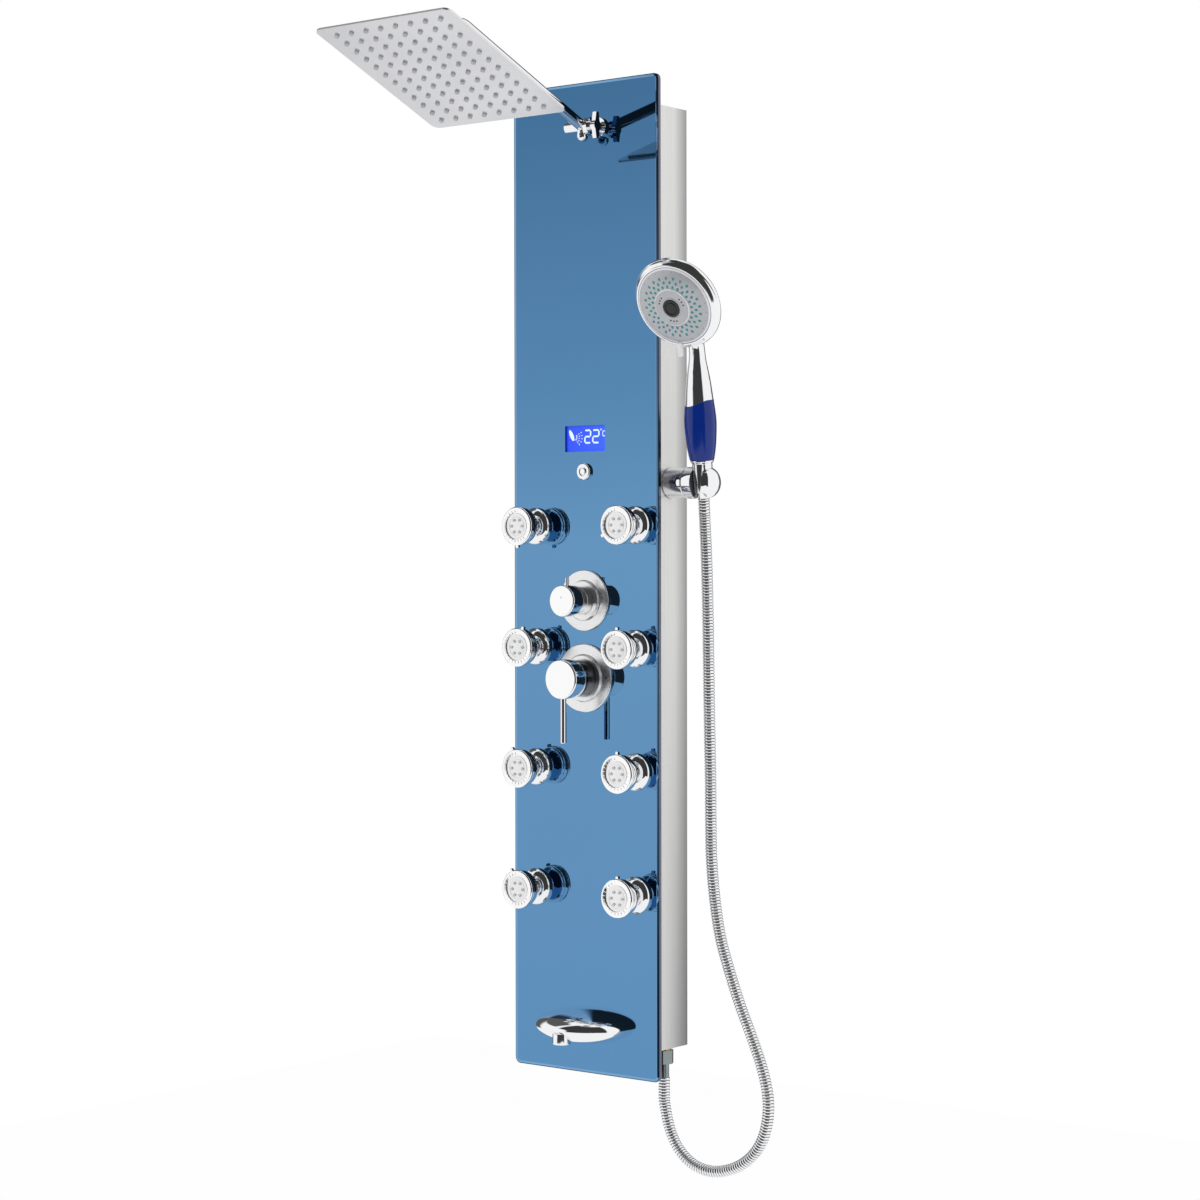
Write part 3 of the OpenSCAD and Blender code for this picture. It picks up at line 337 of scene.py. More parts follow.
# Chromed metal and plastic: name, colour, and the least and most roughness
CHROMES = (
    ("chrome", (0.90, 0.905, 0.92, 1.0), 0.03, 0.08),
    ("chromed_plastic", (0.90, 0.905, 0.92, 1.0), 0.04, 0.10),
    ("chrome_face", (0.97, 0.97, 0.975, 1.0), 0.06, 0.12),
    ("chrome_satin", (0.86, 0.86, 0.86, 1.0), 0.22, 0.30),
    ("chrome_dark", (0.16, 0.165, 0.18, 1.0), 0.10, 0.18),
    ("chrome_nut", (0.26, 0.30, 0.30, 1.0), 0.08, 0.14),
    ("head_satin", (0.78, 0.78, 0.80, 1.0), 0.30, 0.36))
for name, colour, low, high in CHROMES:
    Surface(name, colour, low, 1.0).worn(14, low, high).mottle(9, 0.03).grain(30, 0.00001)

# Plain materials: name, colour, roughness, metal, and what worn, mottle and grain are given
PLAIN = (
    ("steel", (0.55, 0.55, 0.56, 1), 0.35, 1.0, (300, 0.28, 0.42, (1, 1, 0.04)), (40, 0.1),
     (400, 0.00002, (1, 1, 0.03))),
    ("raw_brass", (0.62, 0.44, 0.18, 1), 0.35, 1.0, (60, 0.28, 0.5), (30, 0.25), (250, 0.00003)),
    ("hose_skin", (0.93, 0.935, 0.95, 1), 0.16, 0.95, (90, 0.14, 0.26), (60, 0.08), (900, 0.00001)),
    # The next row's dark colour is painted shade for the grooves between the hose's ribs
    ("hose_groove", (0.10, 0.105, 0.115, 1), 0.4, 0.6, (90, 0.3, 0.5), (60, 0.2), ()),
    ("cartridge_plastic", (0.8, 0.8, 0.76, 1), 0.5, 0.0, (80, 0.4, 0.6), (40, 0.05), (600, 0.00002)),
    ("dark_plastic", (0.015, 0.016, 0.019, 1), 0.35, 0.0, (90, 0.28, 0.42), (50, 0.2), (900, 0.00001)),
    ("black_gloss", (0.004, 0.0045, 0.006, 1), 0.12, 0.0, (60, 0.10, 0.2), (60, 0.3), ()),
    ("nozzle_rubber", linear(140, 142, 148), 0.55, 0.0, (120, 0.45, 0.65), (200, 0.15), (1500, 0.00002)),
    ("nozzle_pale", linear(196, 198, 202), 0.5, 0.0, (120, 0.4, 0.6), (200, 0.12), (1500, 0.00002)),
    ("nozzle_teal", linear(38, 148, 126), 0.4, 0.0, (120, 0.35, 0.5), (60, 0.1, linear(46, 130, 148)), ()),
    ("face_light", linear(226, 227, 230), 0.25, 0.2, (50, 0.2, 0.3), (25, 0.05), ()),
    ("face_grey", linear(182, 183, 188), 0.30, 0.35, (50, 0.26, 0.36), (20, 0.04), (1200, 0.000006)),
    # The glass's rim and bevel colours, next two rows, are painted reflections: a dark line at the rim and a
    # lighter band on the bevel
    ("glass_rim", linear(44, 74, 104), 0.10, 1.0, (40, 0.08, 0.16), (14, 0.15), ()),
    ("glass_bevel", linear(120, 165, 205), 0.04, 1.0, (30, 0.03, 0.06), (12, 0.06), ()),
    ("glass_edge", linear(112, 112, 130), 0.16, 1.0, (60, 0.1, 0.2), (25, 0.12), ()))
for name, colour, rough, metal, worn, mottle, grain in PLAIN:
    s = Surface(name, colour, rough, metal).worn(*worn).mottle(*mottle)
    if grain:
        s.grain(*grain)

# The hand shower's glossy coloured grip
s = Surface("grip_blue", linear(0, 40, 128), 0.12)
s.set("Specular IOR Level", 0.35).set("Coat Weight", 0.1).set("Coat Roughness", 0.04)
s.worn(25, 0.12, 0.22).mottle(12, 0.15).grain(60, 0.00002)

# Mirror glass: deep blue, with a painted reflection that makes it a little lighter towards the bottom
s = Surface("blue_mirror_glass", (0.10, 0.25, 0.46, 1), 0.02, 1.0)
painted_reflection_fade = s.ramp(s.span(s.along("Z"), 0.0, 1.0, 0.15, -1.15), [
    (0.0, linear(64, 110, 150)), (0.31, linear(85, 135, 178)), (0.46, linear(100, 149, 190)),
    (1.0, linear(94, 143, 187))])
s.join(s.mix(s.span(s.noise(2.2), 0.0, 0.08, 0.3, 0.7), painted_reflection_fade, linear(100, 120, 160)), "Base Color")
s.worn(5, 0.012, 0.03)

# Casing: brushed along its height, with painted shade that darkens it towards the wall, and more so towards the
# bottom
s = Surface("casing_metal", (0.74, 0.73, 0.70, 1), 0.34, 0.8)
depth = s.span(s.along("Y"), 0.0, 1.0, -0.07, 0.0)
# Painted shade: the casing's side gets darker towards the wall
painted_shade_tone = s.ramp(depth, [
    (0.0, linear(230, 230, 228)), (0.62, linear(224, 224, 222)), (1.0, linear(152, 152, 154))])
# Painted shade for the lower part, darker still towards the wall
painted_foot_shade = s.ramp(depth, [
    (0.0, linear(226, 226, 224)), (0.4, linear(204, 204, 204)), (0.75, linear(158, 158, 158)),
    (1.0, linear(112, 112, 114))])
painted_shade_tone = s.mix(s.span(s.along("Z"), 0.0, 1.0, -0.55, -1.1), painted_shade_tone, painted_foot_shade)
brushed = s.span(s.noise(500, (1, 1, 0.01)), 0.0, 0.16, 0.3, 0.7)
s.join(s.mix(brushed, painted_shade_tone, linear(176, 174, 170)), "Base Color")
s.worn(400, 0.28, 0.42, (1, 1, 0.01)).grain(900, 0.000015, (1, 1, 0.008))

# The lit display
s = Surface("display_blue", linear(26, 72, 226), 0.25)
glow = s.mix(s.span(s.along("X"), 0.0, 1.0, -0.033, 0.033), linear(20, 60, 214), linear(34, 84, 236))
glow = s.mix(s.span(s.noise(60), 0.0, 0.2, 0.3, 0.7), glow, linear(16, 52, 196))
s.join(glow, "Base Color").join(glow, "Emission Color").set("Emission Strength", 0.55).worn(80, 0.2, 0.3)
s = Surface("display_figures", linear(206, 222, 250), 0.4)
lit = s.mix(s.span(s.noise(400), 0.0, 0.3, 0.3, 0.7), linear(214, 228, 252), linear(178, 202, 244))
s.join(lit, "Base Color").join(lit, "Emission Color").set("Emission Strength", 0.35)

# The frame's own nodes take their slots' materials, but for two
M["jet_white"] = M["chrome_face"]
FINISHES = {row["node"]: row["material_slot"] for row in frame["record"]["subparts"]}
FINISHES.update(hose_nut="chrome_nut", rain_head="head_satin")
for name, obj in frame["nodes"].items():
    for held in obj.material_slots:
        held.material = M[FINISHES[name]]

# Hose
HOSE_WAY = Vector((-0.0436194, 0.139041, -0.989326))
HOSE_TOP = Vector((160.128, -32.2192, -395.587))
HOSE_END = Vector((98, -35, -1150.6))
HOSE_R = 7.5
hang = [
    (163, -30, -480), (165, -30, -550), (167, -31, -630), (169, -32, -700), (171, -33, -760),
    (172, -34, -810), (174, -35, -862), (179, -35, -912), (188, -35, -961), (202, -35, -1003),
    (218, -35, -1044), (235, -35, -1081), (250, -35, -1116), (259, -35, -1145), (262, -35, -1168),
    (260, -35, -1191), (253, -35, -1213), (240, -35, -1233), (221, -35, -1249), (200, -35, -1259),
    (178, -35, -1264), (157, -35, -1263), (138, -35, -1256), (122, -35, -1243), (111, -35, -1227),
    (104, -35, -1209), (100, -35, -1192)]
route = through([HOSE_TOP + k * 2 * HOSE_R * HOSE_WAY for k in range(3)] + hang
                + [HOSE_END - k * 2 * HOSE_R * Vector((0, 0, 1)) for k in (2, 1, 0)])
ways = [0.0]
for a, b in zip(route, route[1:]):
    ways.append(ways[-1] + (b - a).length)
HOSE_LEN = ways[-1]


def hose_at(s):
    """The point of the route at the length s."""
    s = max(0.0, min(HOSE_LEN, s))
    i = max(i for i, w in enumerate(ways) if w <= s)
    if i == len(ways) - 1:
        return route[-1].copy()
    return route[i].lerp(route[i + 1], (s - ways[i]) / (ways[i + 1] - ways[i]))


# A rib's length, its sides, and its outline as (share of its length, radius)
RIB_LONG = 3.8
RIB_SIDES = 28
RIB = [(0.0, 6.05), (0.1, 6.8), (0.24, 7.35), (0.5, 7.5), (0.76, 7.35), (0.9, 6.8)]


def ribbed(start, stop):
    """The hose between two lengths: rounded ribs, each with a narrow groove after it that is coloured with painted
    shade.
    """
    count = round((stop - start) / RIB_LONG)
    step = (stop - start) / count
    marks = [(start + (i + share) * step, r) for i in range(count) for share, r in RIB] + [(stop, RIB[0][1])]
    shape = Shape()
    shape.rings([ring_round(hose_at(s), (hose_at(s + 2.0) - hose_at(s - 2.0)).normalized(), r, RIB_SIDES)
                 for s, r in marks])
    for row in range(len(marks) - 1):
        # The groove's two rows of faces take the second material, which paints shade into the groove
        if row % len(RIB) in (0, len(RIB) - 1):
            shape.mats[row * RIB_SIDES:(row + 1) * RIB_SIDES] = [1] * RIB_SIDES
    return shape


# SPLIT is the length at which the hose's upper piece ends and its main piece begins
SPLIT = 60.0
PATH_STEPS = 160
HOSE_LOOK = [M["hose_skin"], M["hose_groove"]]
lower = ribbed(SPLIT, HOSE_LEN).make("hose_main", HOSE_LOOK, None, "hose_skin", ride=False, sharp=70)
upper = ribbed(0.0, SPLIT).make("hose_upper", HOSE_LOOK, None, "hose_skin", ride=False, sharp=70)
line_points = [hose_at(HOSE_LEN - (HOSE_LEN - SPLIT) * i / PATH_STEPS) for i in range(PATH_STEPS + 1)]
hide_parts("hose")
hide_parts("hose")
tuple(hose_at(SPLIT) * MM)
tuple(hose_at(700) * MM)
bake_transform(lower)
tuple(hose_at(SPLIT) * MM)
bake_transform(upper)

# Glass
GLASS_W, GLASS_H, GLASS_DEEP, GLASS_CORNER = 240, 1300, 6.0, 8
CORNER_STEPS = 6
HOLE_SIDES = 40
JET_HS = [69.5 - 160 * k for k in range(4)]
JETS = [(-82.5, h) for h in JET_HS] + [(82.5, h) for h in JET_HS]
MIXER_H, DIVERTER_H, DISPLAY_H, BUTTON_H, SPOUT_H = -130.4, -28.5, 184.0, 140.6, 63.3 - 650


def glass_outline(inset):
    """The glass's outline, moved inwards by inset."""
    w, h, r = GLASS_W / 2 - inset, GLASS_H / 2 - inset, GLASS_CORNER - inset
    pts = []
    for cx, cy, start in ((w - r, h - r, 0), (r - w, h - r, 90), (r - w, r - h, 180), (w - r, r - h, 270)):
        for k in range(CORNER_STEPS + 1):
            a = math.radians(start + 90 * k / CORNER_STEPS)
            pts.append((cx + r * math.cos(a), cy + r * math.sin(a)))
    return pts


def circle(x, y, r):
    return [(x + r * math.cos(a), y + r * math.sin(a)) for a in turns(HOLE_SIDES)]


def strip(bm, low, high, mat):
    """The faces between two loops of the same number of points."""
    n = len(low)
    for k in range(n):
        f = bm.faces.new((low[k], low[(k + 1) % n], high[(k + 1) % n], high[k]))
        f.material_index = mat


def glass():
    """The glass as one shell: front and back filled round the holes, a polished bevel, ground edges. The bevel's
    colour is a painted light reflection and the rim's a painted dark reflection.
    """
    w, low, high = 33.05, DISPLAY_H - 17.05, DISPLAY_H + 17.05
    window = [(-w, low), (w, low), (w, high), (-w, high)]
    holes = [circle(x, h, 9.5) for x, h in JETS]
    holes += [circle(0, MIXER_H, 23), circle(0, DIVERTER_H, 18), circle(0, BUTTON_H, 9.3),
              circle(25, 588, 7.2), circle(0, SPOUT_H, 9), window]
    # Inset, height, and the material of the strip below, from the back to the face
    # The rim's strips take a painted dark reflection, the bevel's a painted light reflection
    loops = [(0.5, -GLASS_DEEP, 2), (0.0, -5.5, 2), (0.0, -0.8, 2), (0.3, -0.55, 3), (1.1, -0.42, 3),
             (3.4, -0.04, 1), (3.9, 0.0, 1)]
    bm = bmesh.new()
    rows = [[bm.verts.new((x, y, z)) for x, y in glass_outline(inset)] for inset, z, mat in loops]
    for low, high, (inset, z, mat) in zip(rows, rows[1:], loops[1:]):
        strip(bm, low, high, mat)
    rims = []
    for hole in holes:
        rims.append([[bm.verts.new((x, y, z)) for x, y in hole] for z in (-GLASS_DEEP, 0.0)])
        strip(bm, *rims[-1], 2)
    for outer, pick, mat in ((rows[0], 0, 2), (rows[-1], 1, 0)):
        edges = []
        for ring in [outer] + [r[pick] for r in rims]:
            edges += [bm.edges.get((ring[k], ring[(k + 1) % len(ring)])) for k in range(len(ring))]
        for f in bmesh.ops.triangle_fill(bm, edges=edges, use_beauty=True)["geom"]:
            if isinstance(f, bmesh.types.BMFace):
                f.material_index = mat
    shape = Shape()
    bm.verts.index_update()
    place = on_panel()
    shape.verts = [place @ v.co for v in bm.verts]
    shape.faces = [[v.index for v in f.verts] for f in bm.faces]
    shape.mats = [f.material_index for f in bm.faces]
    bm.free()
    looks = [M[name] for name in ("blue_mirror_glass", "glass_bevel", "glass_edge", "glass_rim")]
    shape.make("glass_front", looks, "panel", "blue_mirror_glass", ["glass_panel"], sharp=2)


glass()

# Body jets: a base with its ball, a cup on the ball, and a face ring with a tab, ribs and six nozzles
BALL_H = 18
TAB_TURNS = [-90, 70, 110, 115, 210, 90, 90, 90]
JET_BASE = [(0, -23), (9, -23), (9, 0), (25, 0, 0.1), (25, 1.6), (24.4, 4.3, 2), (21.9, 7.4, 3), (17.2, 9.8, 3),
            (12, 11, 2), (7.4, 11.1, 0.3)]
JET_CUP = [(10.2, 16.5), (13.1, 16.5, 0.6), (14.1, 18.9, 1.5), (16.8, 20.9, 2), (21.2, 23.7, 2), (23.5, 26.6, 2),
           (24.0, 29.7, 0.5), (24.7, 30.6, 0.6), (24.7, 36.6, 0.8), (0, 36.6)]
JET_RIM = [(0, 36.9), (24.4, 36.9), (25.5, 37.8, 0.6), (25.5, 40.7, 1.0), (24.3, 41.95, 0.9), (22.6, 42.0, 0.5),
           (18.2, 41.2, 0.5), (17.4, 40.95, 0.2), (17.2, 40.5, 0.1)]
JET_INSERT = [(17.2, 40.5), (16.8, 40.5, 0.1), (16.6, 40.8, 0.3), (12.6, 40.8, 0.2), (12.4, 40.65, 0.1),
              (12.2, 40.8, 0.2), (0, 40.8)]
JET_NOZZLE = [(2.1, 40.5), (2.0, 41.6, 0.2), (1.7, 42.4, 0.4), (0.7, 42.6, 0.2), (0, 42.0)]
JET_TAB = [(24.6, -2.5), (28.2, -2.2), (28.9, -1.6), (28.9, 1.6), (28.2, 2.2), (24.6, 2.5)]
JET_RIB = [(18.6, -0.35), (22.4, -0.5), (22.4, 0.5), (18.6, 0.35)]
JET_LOOK = [M["jet_white"], M["chrome_satin"], M["nozzle_pale"]]
sockets = Shape()
for x, h in JETS:
    sockets.lathe(soften(JET_BASE) + arc(10, BALL_H, -43, 90, 14), on_panel(x, h), 80)
sockets.make("jet_bases", M["chrome"], "panel", "chromed_plastic", ["jet_sockets"])
for i, (x, h) in enumerate(JETS, 1):
    place = on_panel(x, h)
    cup = Shape()
    cup.lathe(arc(10.3, BALL_H, 90, -8, 12)[:-1] + soften(JET_CUP), place, 80)
    cup.make(f"jet_{i}_cup", M["chromed_plastic"], f"jet_{i}", "chromed_plastic", [f"jet_head_{i}"])
    ring = Shape()
    ring.lathe(soften(JET_RIM), place, 96)
    ring.lathe(soften(JET_INSERT), place, 96, mat=1)
    for k in range(6):
        ring.lathe(soften(JET_NOZZLE), place @ turn("Z", 60 * k) @ move(9, 0, 0), 20, mat=2)
    ring.slab(JET_TAB, 36.9, 40.6, place @ turn("Z", TAB_TURNS[i - 1]), 0, 0.5)
    for k in range(24):
        ring.slab(JET_RIB, 41.0, 42.05, place @ turn("Z", 15 * k + 7.5), 0, 0.15)
    ring.make(f"jet_{i}_face", JET_LOOK, f"jet_front_{i}", "jet_white", [f"jet_ring_{i}"])


def seam(plate, inside, outside, low, high, place):
    """A thin dark ring let into a plate, round its collar."""
    corners = [(inside, low), (outside, low), (outside, high), (inside, high), (inside, low)]
    plate.lathe(soften(corners, 0.1)[:-1], place, 96, mat=1, closed=True)


# Mixer
PLATE_LOOK = [M["chrome_satin"], M["chrome_dark"]]
place = on_panel(0, MIXER_H)
plate = Shape()
plate.lathe(soften([(24.25, 0), (45, 0, 0.1), (45, 2.6, 0.8), (44.1, 3.5, 0.7), (31.6, 3.6, 0.6),
                    (30.6, 4.2, 0.4), (30.5, 7.1, 0.6), (29.6, 8, 0.6), (24.25, 8, 0.1), (24.25, 0)])[:-1],
            place, 128, closed=True)
seam(plate, 30.4, 31.5, 3.2, 3.85, place)
plate.lathe(soften([(0, 3), (1.5, 3), (1.5, 4.1, 0.3), (0, 4.2)]), place @ move(37.2, 0.8, 0), 24, mat=1)
plate.make("mixer_cover", PLATE_LOOK, "panel", "chrome", ["mixer_plate"])
bonnet = Shape()
outer = [(24.2, 0.0)] + arc(24.2, 22, 0, 54, 12)
inner = arc(20.7, 22, 47, 0, 10) + [(20.7, 0.0)]
bonnet.lathe(outer + inner, place, 96, closed=True)
bonnet.make("mixer_dome", M["chrome_dark"], "panel", "chrome", ["mixer_bonnet"])
knob = Shape()
knob.lathe(arc(24.7, 22, 90, 20, 12)
           + soften([(23.2, 30.4), (25.4, 30.4, 0.2), (25.8, 30.9, 0.3), (25.8, 51.6, 1.2), (24.5, 52.8, 1.0),
                     (22.5, 53.0, 0.6), (0, 53.0)]), place, 96)
knob.make("mixer_cap", M["chrome_face"], "mixer_handle", "chrome", ["mixer_knob"])
lever = Shape()
down = place @ move(0, 0, 46.3) @ turn("X", 90)
lever.lathe(soften([(0, 20), (4.0, 20), (4.0, 83.0, 0.8), (3.2, 83.8, 0.4), (0, 83.8)]), down, 40)
lever.make("mixer_rod", M["chrome"], "mixer_handle", "chrome", ["mixer_lever"])

# Diverter
place = on_panel(0, DIVERTER_H)
plate = Shape()
plate.lathe(soften([(5.5, 0), (40, 0, 0.1), (40, 2.2, 0.7), (39.2, 3, 0.6), (27, 3.1, 0.6), (26.1, 3.7, 0.4),
                    (26, 6.2, 0.6), (25.2, 7, 0.6), (5.5, 7, 0.1), (5.5, 0)])[:-1], place, 128, closed=True)
seam(plate, 25.9, 26.9, 2.8, 3.35, place)
plate.make("diverter_cover", PLATE_LOOK, "panel", "chrome", ["diverter_plate"])
knob = Shape()
knob.lathe(soften([(0, -22.5), (5, -22.5), (5, 7.5), (19, 7.5, 0.6), (19, 26.4, 0.3), (20.1, 27.1, 0.5),
                   (20.5, 28, 0.4), (20.5, 48.8, 1.0), (19.4, 49.9, 0.9), (17.5, 50, 0.6), (0, 50)]), place, 96)
knob.lathe(soften([(0, 49), (1.6, 49), (1.6, 50.3, 0.3), (0, 50.5)]), place @ move(-1.7, 4.3, 0), 24)
knob.make("diverter_cap", M["chrome_face"], "diverter", "chrome", ["diverter_knob"])
pin = Shape()
up_peg = place @ move(0, 0, 38) @ turn("X", -90)
pin.lathe(soften([(0, 16), (2.5, 16), (2.5, 30.0, 0.8), (1.9, 30.5, 0.4), (0, 30.5)]), up_peg, 32)
pin.make("diverter_peg", M["chrome"], "diverter", "chrome", ["diverter_pin"])

# Display: its figures lie just over the window. FIGURE_LINE is the width of a figure's strokes
FIGURE_LOW, FIGURE_HIGH, FIGURE_LINE = -3.0, -2.75, 2.3
place = on_panel(0, DISPLAY_H)
figures = Shape()


def stroke(points, width):
    """A flat line with round ends, on the window."""
    pts = [Vector(p) for p in points]
    for a, b in zip(pts, pts[1:]):
        way = (b - a).normalized()
        n = Vector((-way.y, way.x)) * width / 2
        e = way * width * 0.35
        corners = (a - n, b - n, b + e - n * 0.4, b + e + n * 0.4,
                   b + n, a + n, a - e + n * 0.4, a - e - n * 0.4)
        figures.slab([tuple(c) for c in corners], FIGURE_LOW, FIGURE_HIGH, place)


def two(x, y, w, h):
    """The figure 2, in a box of w by h with its lower left corner at x, y."""
    low, mid, high = y + FIGURE_LINE / 2, y + h / 2, y + h - FIGURE_LINE / 2
    left, right_end = x + FIGURE_LINE / 2, x + w - FIGURE_LINE / 2
    g = FIGURE_LINE * 0.62
    for line in (((left + g, high), (right_end - g, high)), ((right_end, mid + g), (right_end, high - g)),
                 ((left + g, mid), (right_end - g, mid)), ((left, low + g), (left, mid - g)),
                 ((left + g, low), (right_end - g, low))):
        stroke(line, FIGURE_LINE)


two(-3.3, -6.8, 11.8, 18.7)
two(9.9, -6.8, 12.4, 18.7)
# The degree sign, the letter C, a leaf, and rays of short strokes beside it
degree = [(24.7 + 1.1 * math.cos(a * math.pi / 6), 11.3 + 1.1 * math.sin(a * math.pi / 6)) for a in range(13)]
stroke(degree, 0.7)
stroke([(31.2, 8.4), (30.3, 9.3), (29.0, 9.5), (27.8, 8.8), (27.4, 7.4), (27.4, 4.6), (27.8, 3.2), (29.0, 2.5),
        (30.3, 2.7), (31.2, 3.6)], 1.3)
leaf = [(-24.2 + 2.6 * math.cos(a) - 3.6 * math.sin(a), 4.6 + 1.4 * math.cos(a) + 7.2 * math.sin(a))
        for a in turns(20)]
figures.slab(leaf, FIGURE_LOW, FIGURE_HIGH, place)
for k in range(5):
    way = math.radians(28 - 19 * k)
    for step in range(3):
        a = 4.2 + 4.3 * step
        stroke([(-20.4 + a * math.cos(way), 2.2 + 0.9 * a * math.sin(way)),
                (-21.4 + (a + 2.6) * math.cos(way), 2.2 + 0.9 * (a + 2.6) * math.sin(way))], 0.9)
figures.make("display_digits", M["display_figures"], "panel", "display_blue")

# Push button
button = Shape()
place = on_panel(0, BUTTON_H)
button.lathe(soften([(4.65, -10), (8.8, -10), (8.8, 0, 0.1), (11, 0, 0.1), (11, 3.6, 0.9), (9.8, 4.5, 0.6),
                     (6.2, 4.5, 0.4), (5.2, 3.9, 0.3), (4.65, 3.9, 0.1), (4.65, -10)])[:-1], place, 72, closed=True)
button.make("button_rim", M["chrome"], "panel", "chrome", ["button_ring"])
cap = Shape()
cap.lathe(soften([(0, -15), (4.6, -15), (4.6, 4.9, 0.6), (3.9, 5.4, 0.5), (0, 5.5)]), place, 48)
cap.lathe(soften([(4.6, -12.3), (6.8, -12.3), (6.8, -10.3), (4.6, -10.3)]), place, 48)
cap.make("button_cap", M["chromed_plastic"], "button", "chromed_plastic", ["push_button"])

# Spout: half of an ellipsoid, and its aerator
SPOUT_W, SPOUT_T, SPOUT_OUT = 70, 23.5, 60
SPOUT_ROWS, SPOUT_SIDES = 24, 120
place = on_panel(0, SPOUT_H)
rings = []
for i in range(SPOUT_ROWS):
    a = math.radians(90 * i / SPOUT_ROWS)
    w, t = SPOUT_W * math.cos(a), SPOUT_T * math.cos(a)
    rings.append([(w * math.cos(b), t * math.sin(b), SPOUT_OUT * math.sin(a)) for b in turns(SPOUT_SIDES)])
rings.append([(0.02 * math.cos(b), 0.01 * math.sin(b), SPOUT_OUT) for b in turns(SPOUT_SIDES)])
spout = Shape()
spout.rings(rings, place)
spout.lathe([(0, -30), (8, -30), (8, 0.5), (0, 0.5)], place, 40)
spout.make("spout_body", M["chrome"], "panel", "chrome", ["spout"], sharp=60)
tip = Shape()
tip.lathe(soften([(0, 4), (12, 4), (12, 17.6, 0.6), (11.2, 18.5, 0.5), (9.6, 18.5, 0.2), (9.3, 17.3, 0.2),
                  (0, 17.3)]), place @ move(0, 0, 51) @ turn("X", 90), 56)
tip.make("spout_tip", M["chromed_plastic"], "panel", "chrome", ["aerator"])

# Holder
place = move(0, -35, -375.8) @ turn("Y", 90)
socket = Shape()
socket.lathe(soften([(0, 108), (18.6, 108), (18.6, 111.2, 0.1), (20.5, 111.2, 0.4), (20.5, 138.4, 0.5),
                     (19.9, 139.0, 0.3), (6, 139, 0.1), (6, 145), (0, 145)]), place, 96)
socket.make("holder_socket", M["chrome"], "panel", "chrome", ["holder_base"])


def clip():
    """The clip: a domed barrel, with a cone for the handle and a slot in front for the hose."""
    barrel, cutter = Shape(), Shape()
    barrel.lathe(soften([(0, 139.4), (19.9, 139.4, 0.2), (20.5, 140.1, 0.3), (20.5, 168, 8), (18.6, 175, 5),
                         (13.5, 180.2, 5), (6, 182.6, 4), (0, 183)], 0.5, 5), place, 96)
    cutter.lathe([(0, -9), (12.3, -9), (12.3, 0), (13.62, 38), (13.62, 60), (0, 60)], HANDLE, 64)
    cutter.slab([(-9, -60), (9, -60), (9, 0), (-9, 0)], -40, 60, HANDLE)
    body = barrel.make("clip_barrel", M["chromed_plastic"], "clip", "chromed_plastic", ["holder_clip"])
    tool = cutter.make("clip_cutter", M["chrome_dark"], None, "chromed_plastic", ride=False)
    cut = body.modifiers.new("slot", "BOOLEAN")
    cut.object, cut.solver, cut.use_self, cut.material_mode = tool, "EXACT", True, "TRANSFER"
    graph = bpy.context.evaluated_depsgraph_get()
    mesh = bpy.data.meshes.new_from_object(body.evaluated_get(graph))
    body.modifiers.clear()
    body.data = mesh
    bpy.data.objects.remove(tool)
    mesh.shade_smooth()
    mesh.set_sharp_from_angle(angle=math.radians(32))


clip()

# Rain head's nozzles: one finer tip in the place of each solid of the node
bm = bmesh.new()
bm.from_mesh(frame["nodes"]["rain_nozzles"].data)
to_plate = PLATE.inverted()
left, spots = set(bm.verts), []
while left:
    island, edge = set(), [left.pop()]
    while edge:
        v = edge.pop()
        island.add(v)
        for e in v.link_edges:
            other = e.other_vert(v)
            if other in left:
                left.discard(other)
                edge.append(other)
    pts = [to_plate @ (v.co / MM) for v in island]
    x, y = sum(q.x for q in pts) / len(pts), sum(q.y for q in pts) / len(pts)
    spots.append((x, y, min(q.z for q in pts), max(q.z for q in pts)))
bm.free()
tips = Shape()
for x, y, low, high in sorted(spots):
    tips.lathe(soften([(0, high), (3.1, high), (3.0, low + 1.4, 0.4), (1.8, low, 0.5), (0.8, low, 0.2),
                       (0, low + 0.6)], 0.3, 2), PLATE @ move(x, y, 0), 14)
tips.make("rain_tips", M["nozzle_pale"], "head", "nozzle_rubber", ["rain_nozzles"])

# Hand shower: the handle's outline as (radius, height)
outline = through([(r, z, 0) for r, z in (
    (15.75, 41.8), (18.2, 55), (19.9, 70), (21, 93), (18.9, 116.8), (17.5, 131), (16.0, 144), (13.7, 158.5),
    (11.3, 173), (10.5, 190), (10.4, 196))], 8)
GRIP_LOW, GRIP_HIGH, GRIP_DIP, GRIP_FRONT = 41.8, 119.5, 7.5, math.radians(118)
GRIP_SIDES, GRIP_ROWS = 96, 34
NECK_LOW, NECK_HIGH, NECK_THIN, NECK_WIDER, NECK_FLARE = 96, 186, 10.4, 2.6, 70


def handle_radius(z):
    for a, b in zip(outline, outline[1:]):
        if a.y <= z <= b.y:
            return a.x + (b.x - a.x) * (z - a.y) / (b.y - a.y)
    return outline[0].x if z < outline[0].y else outline[-1].x


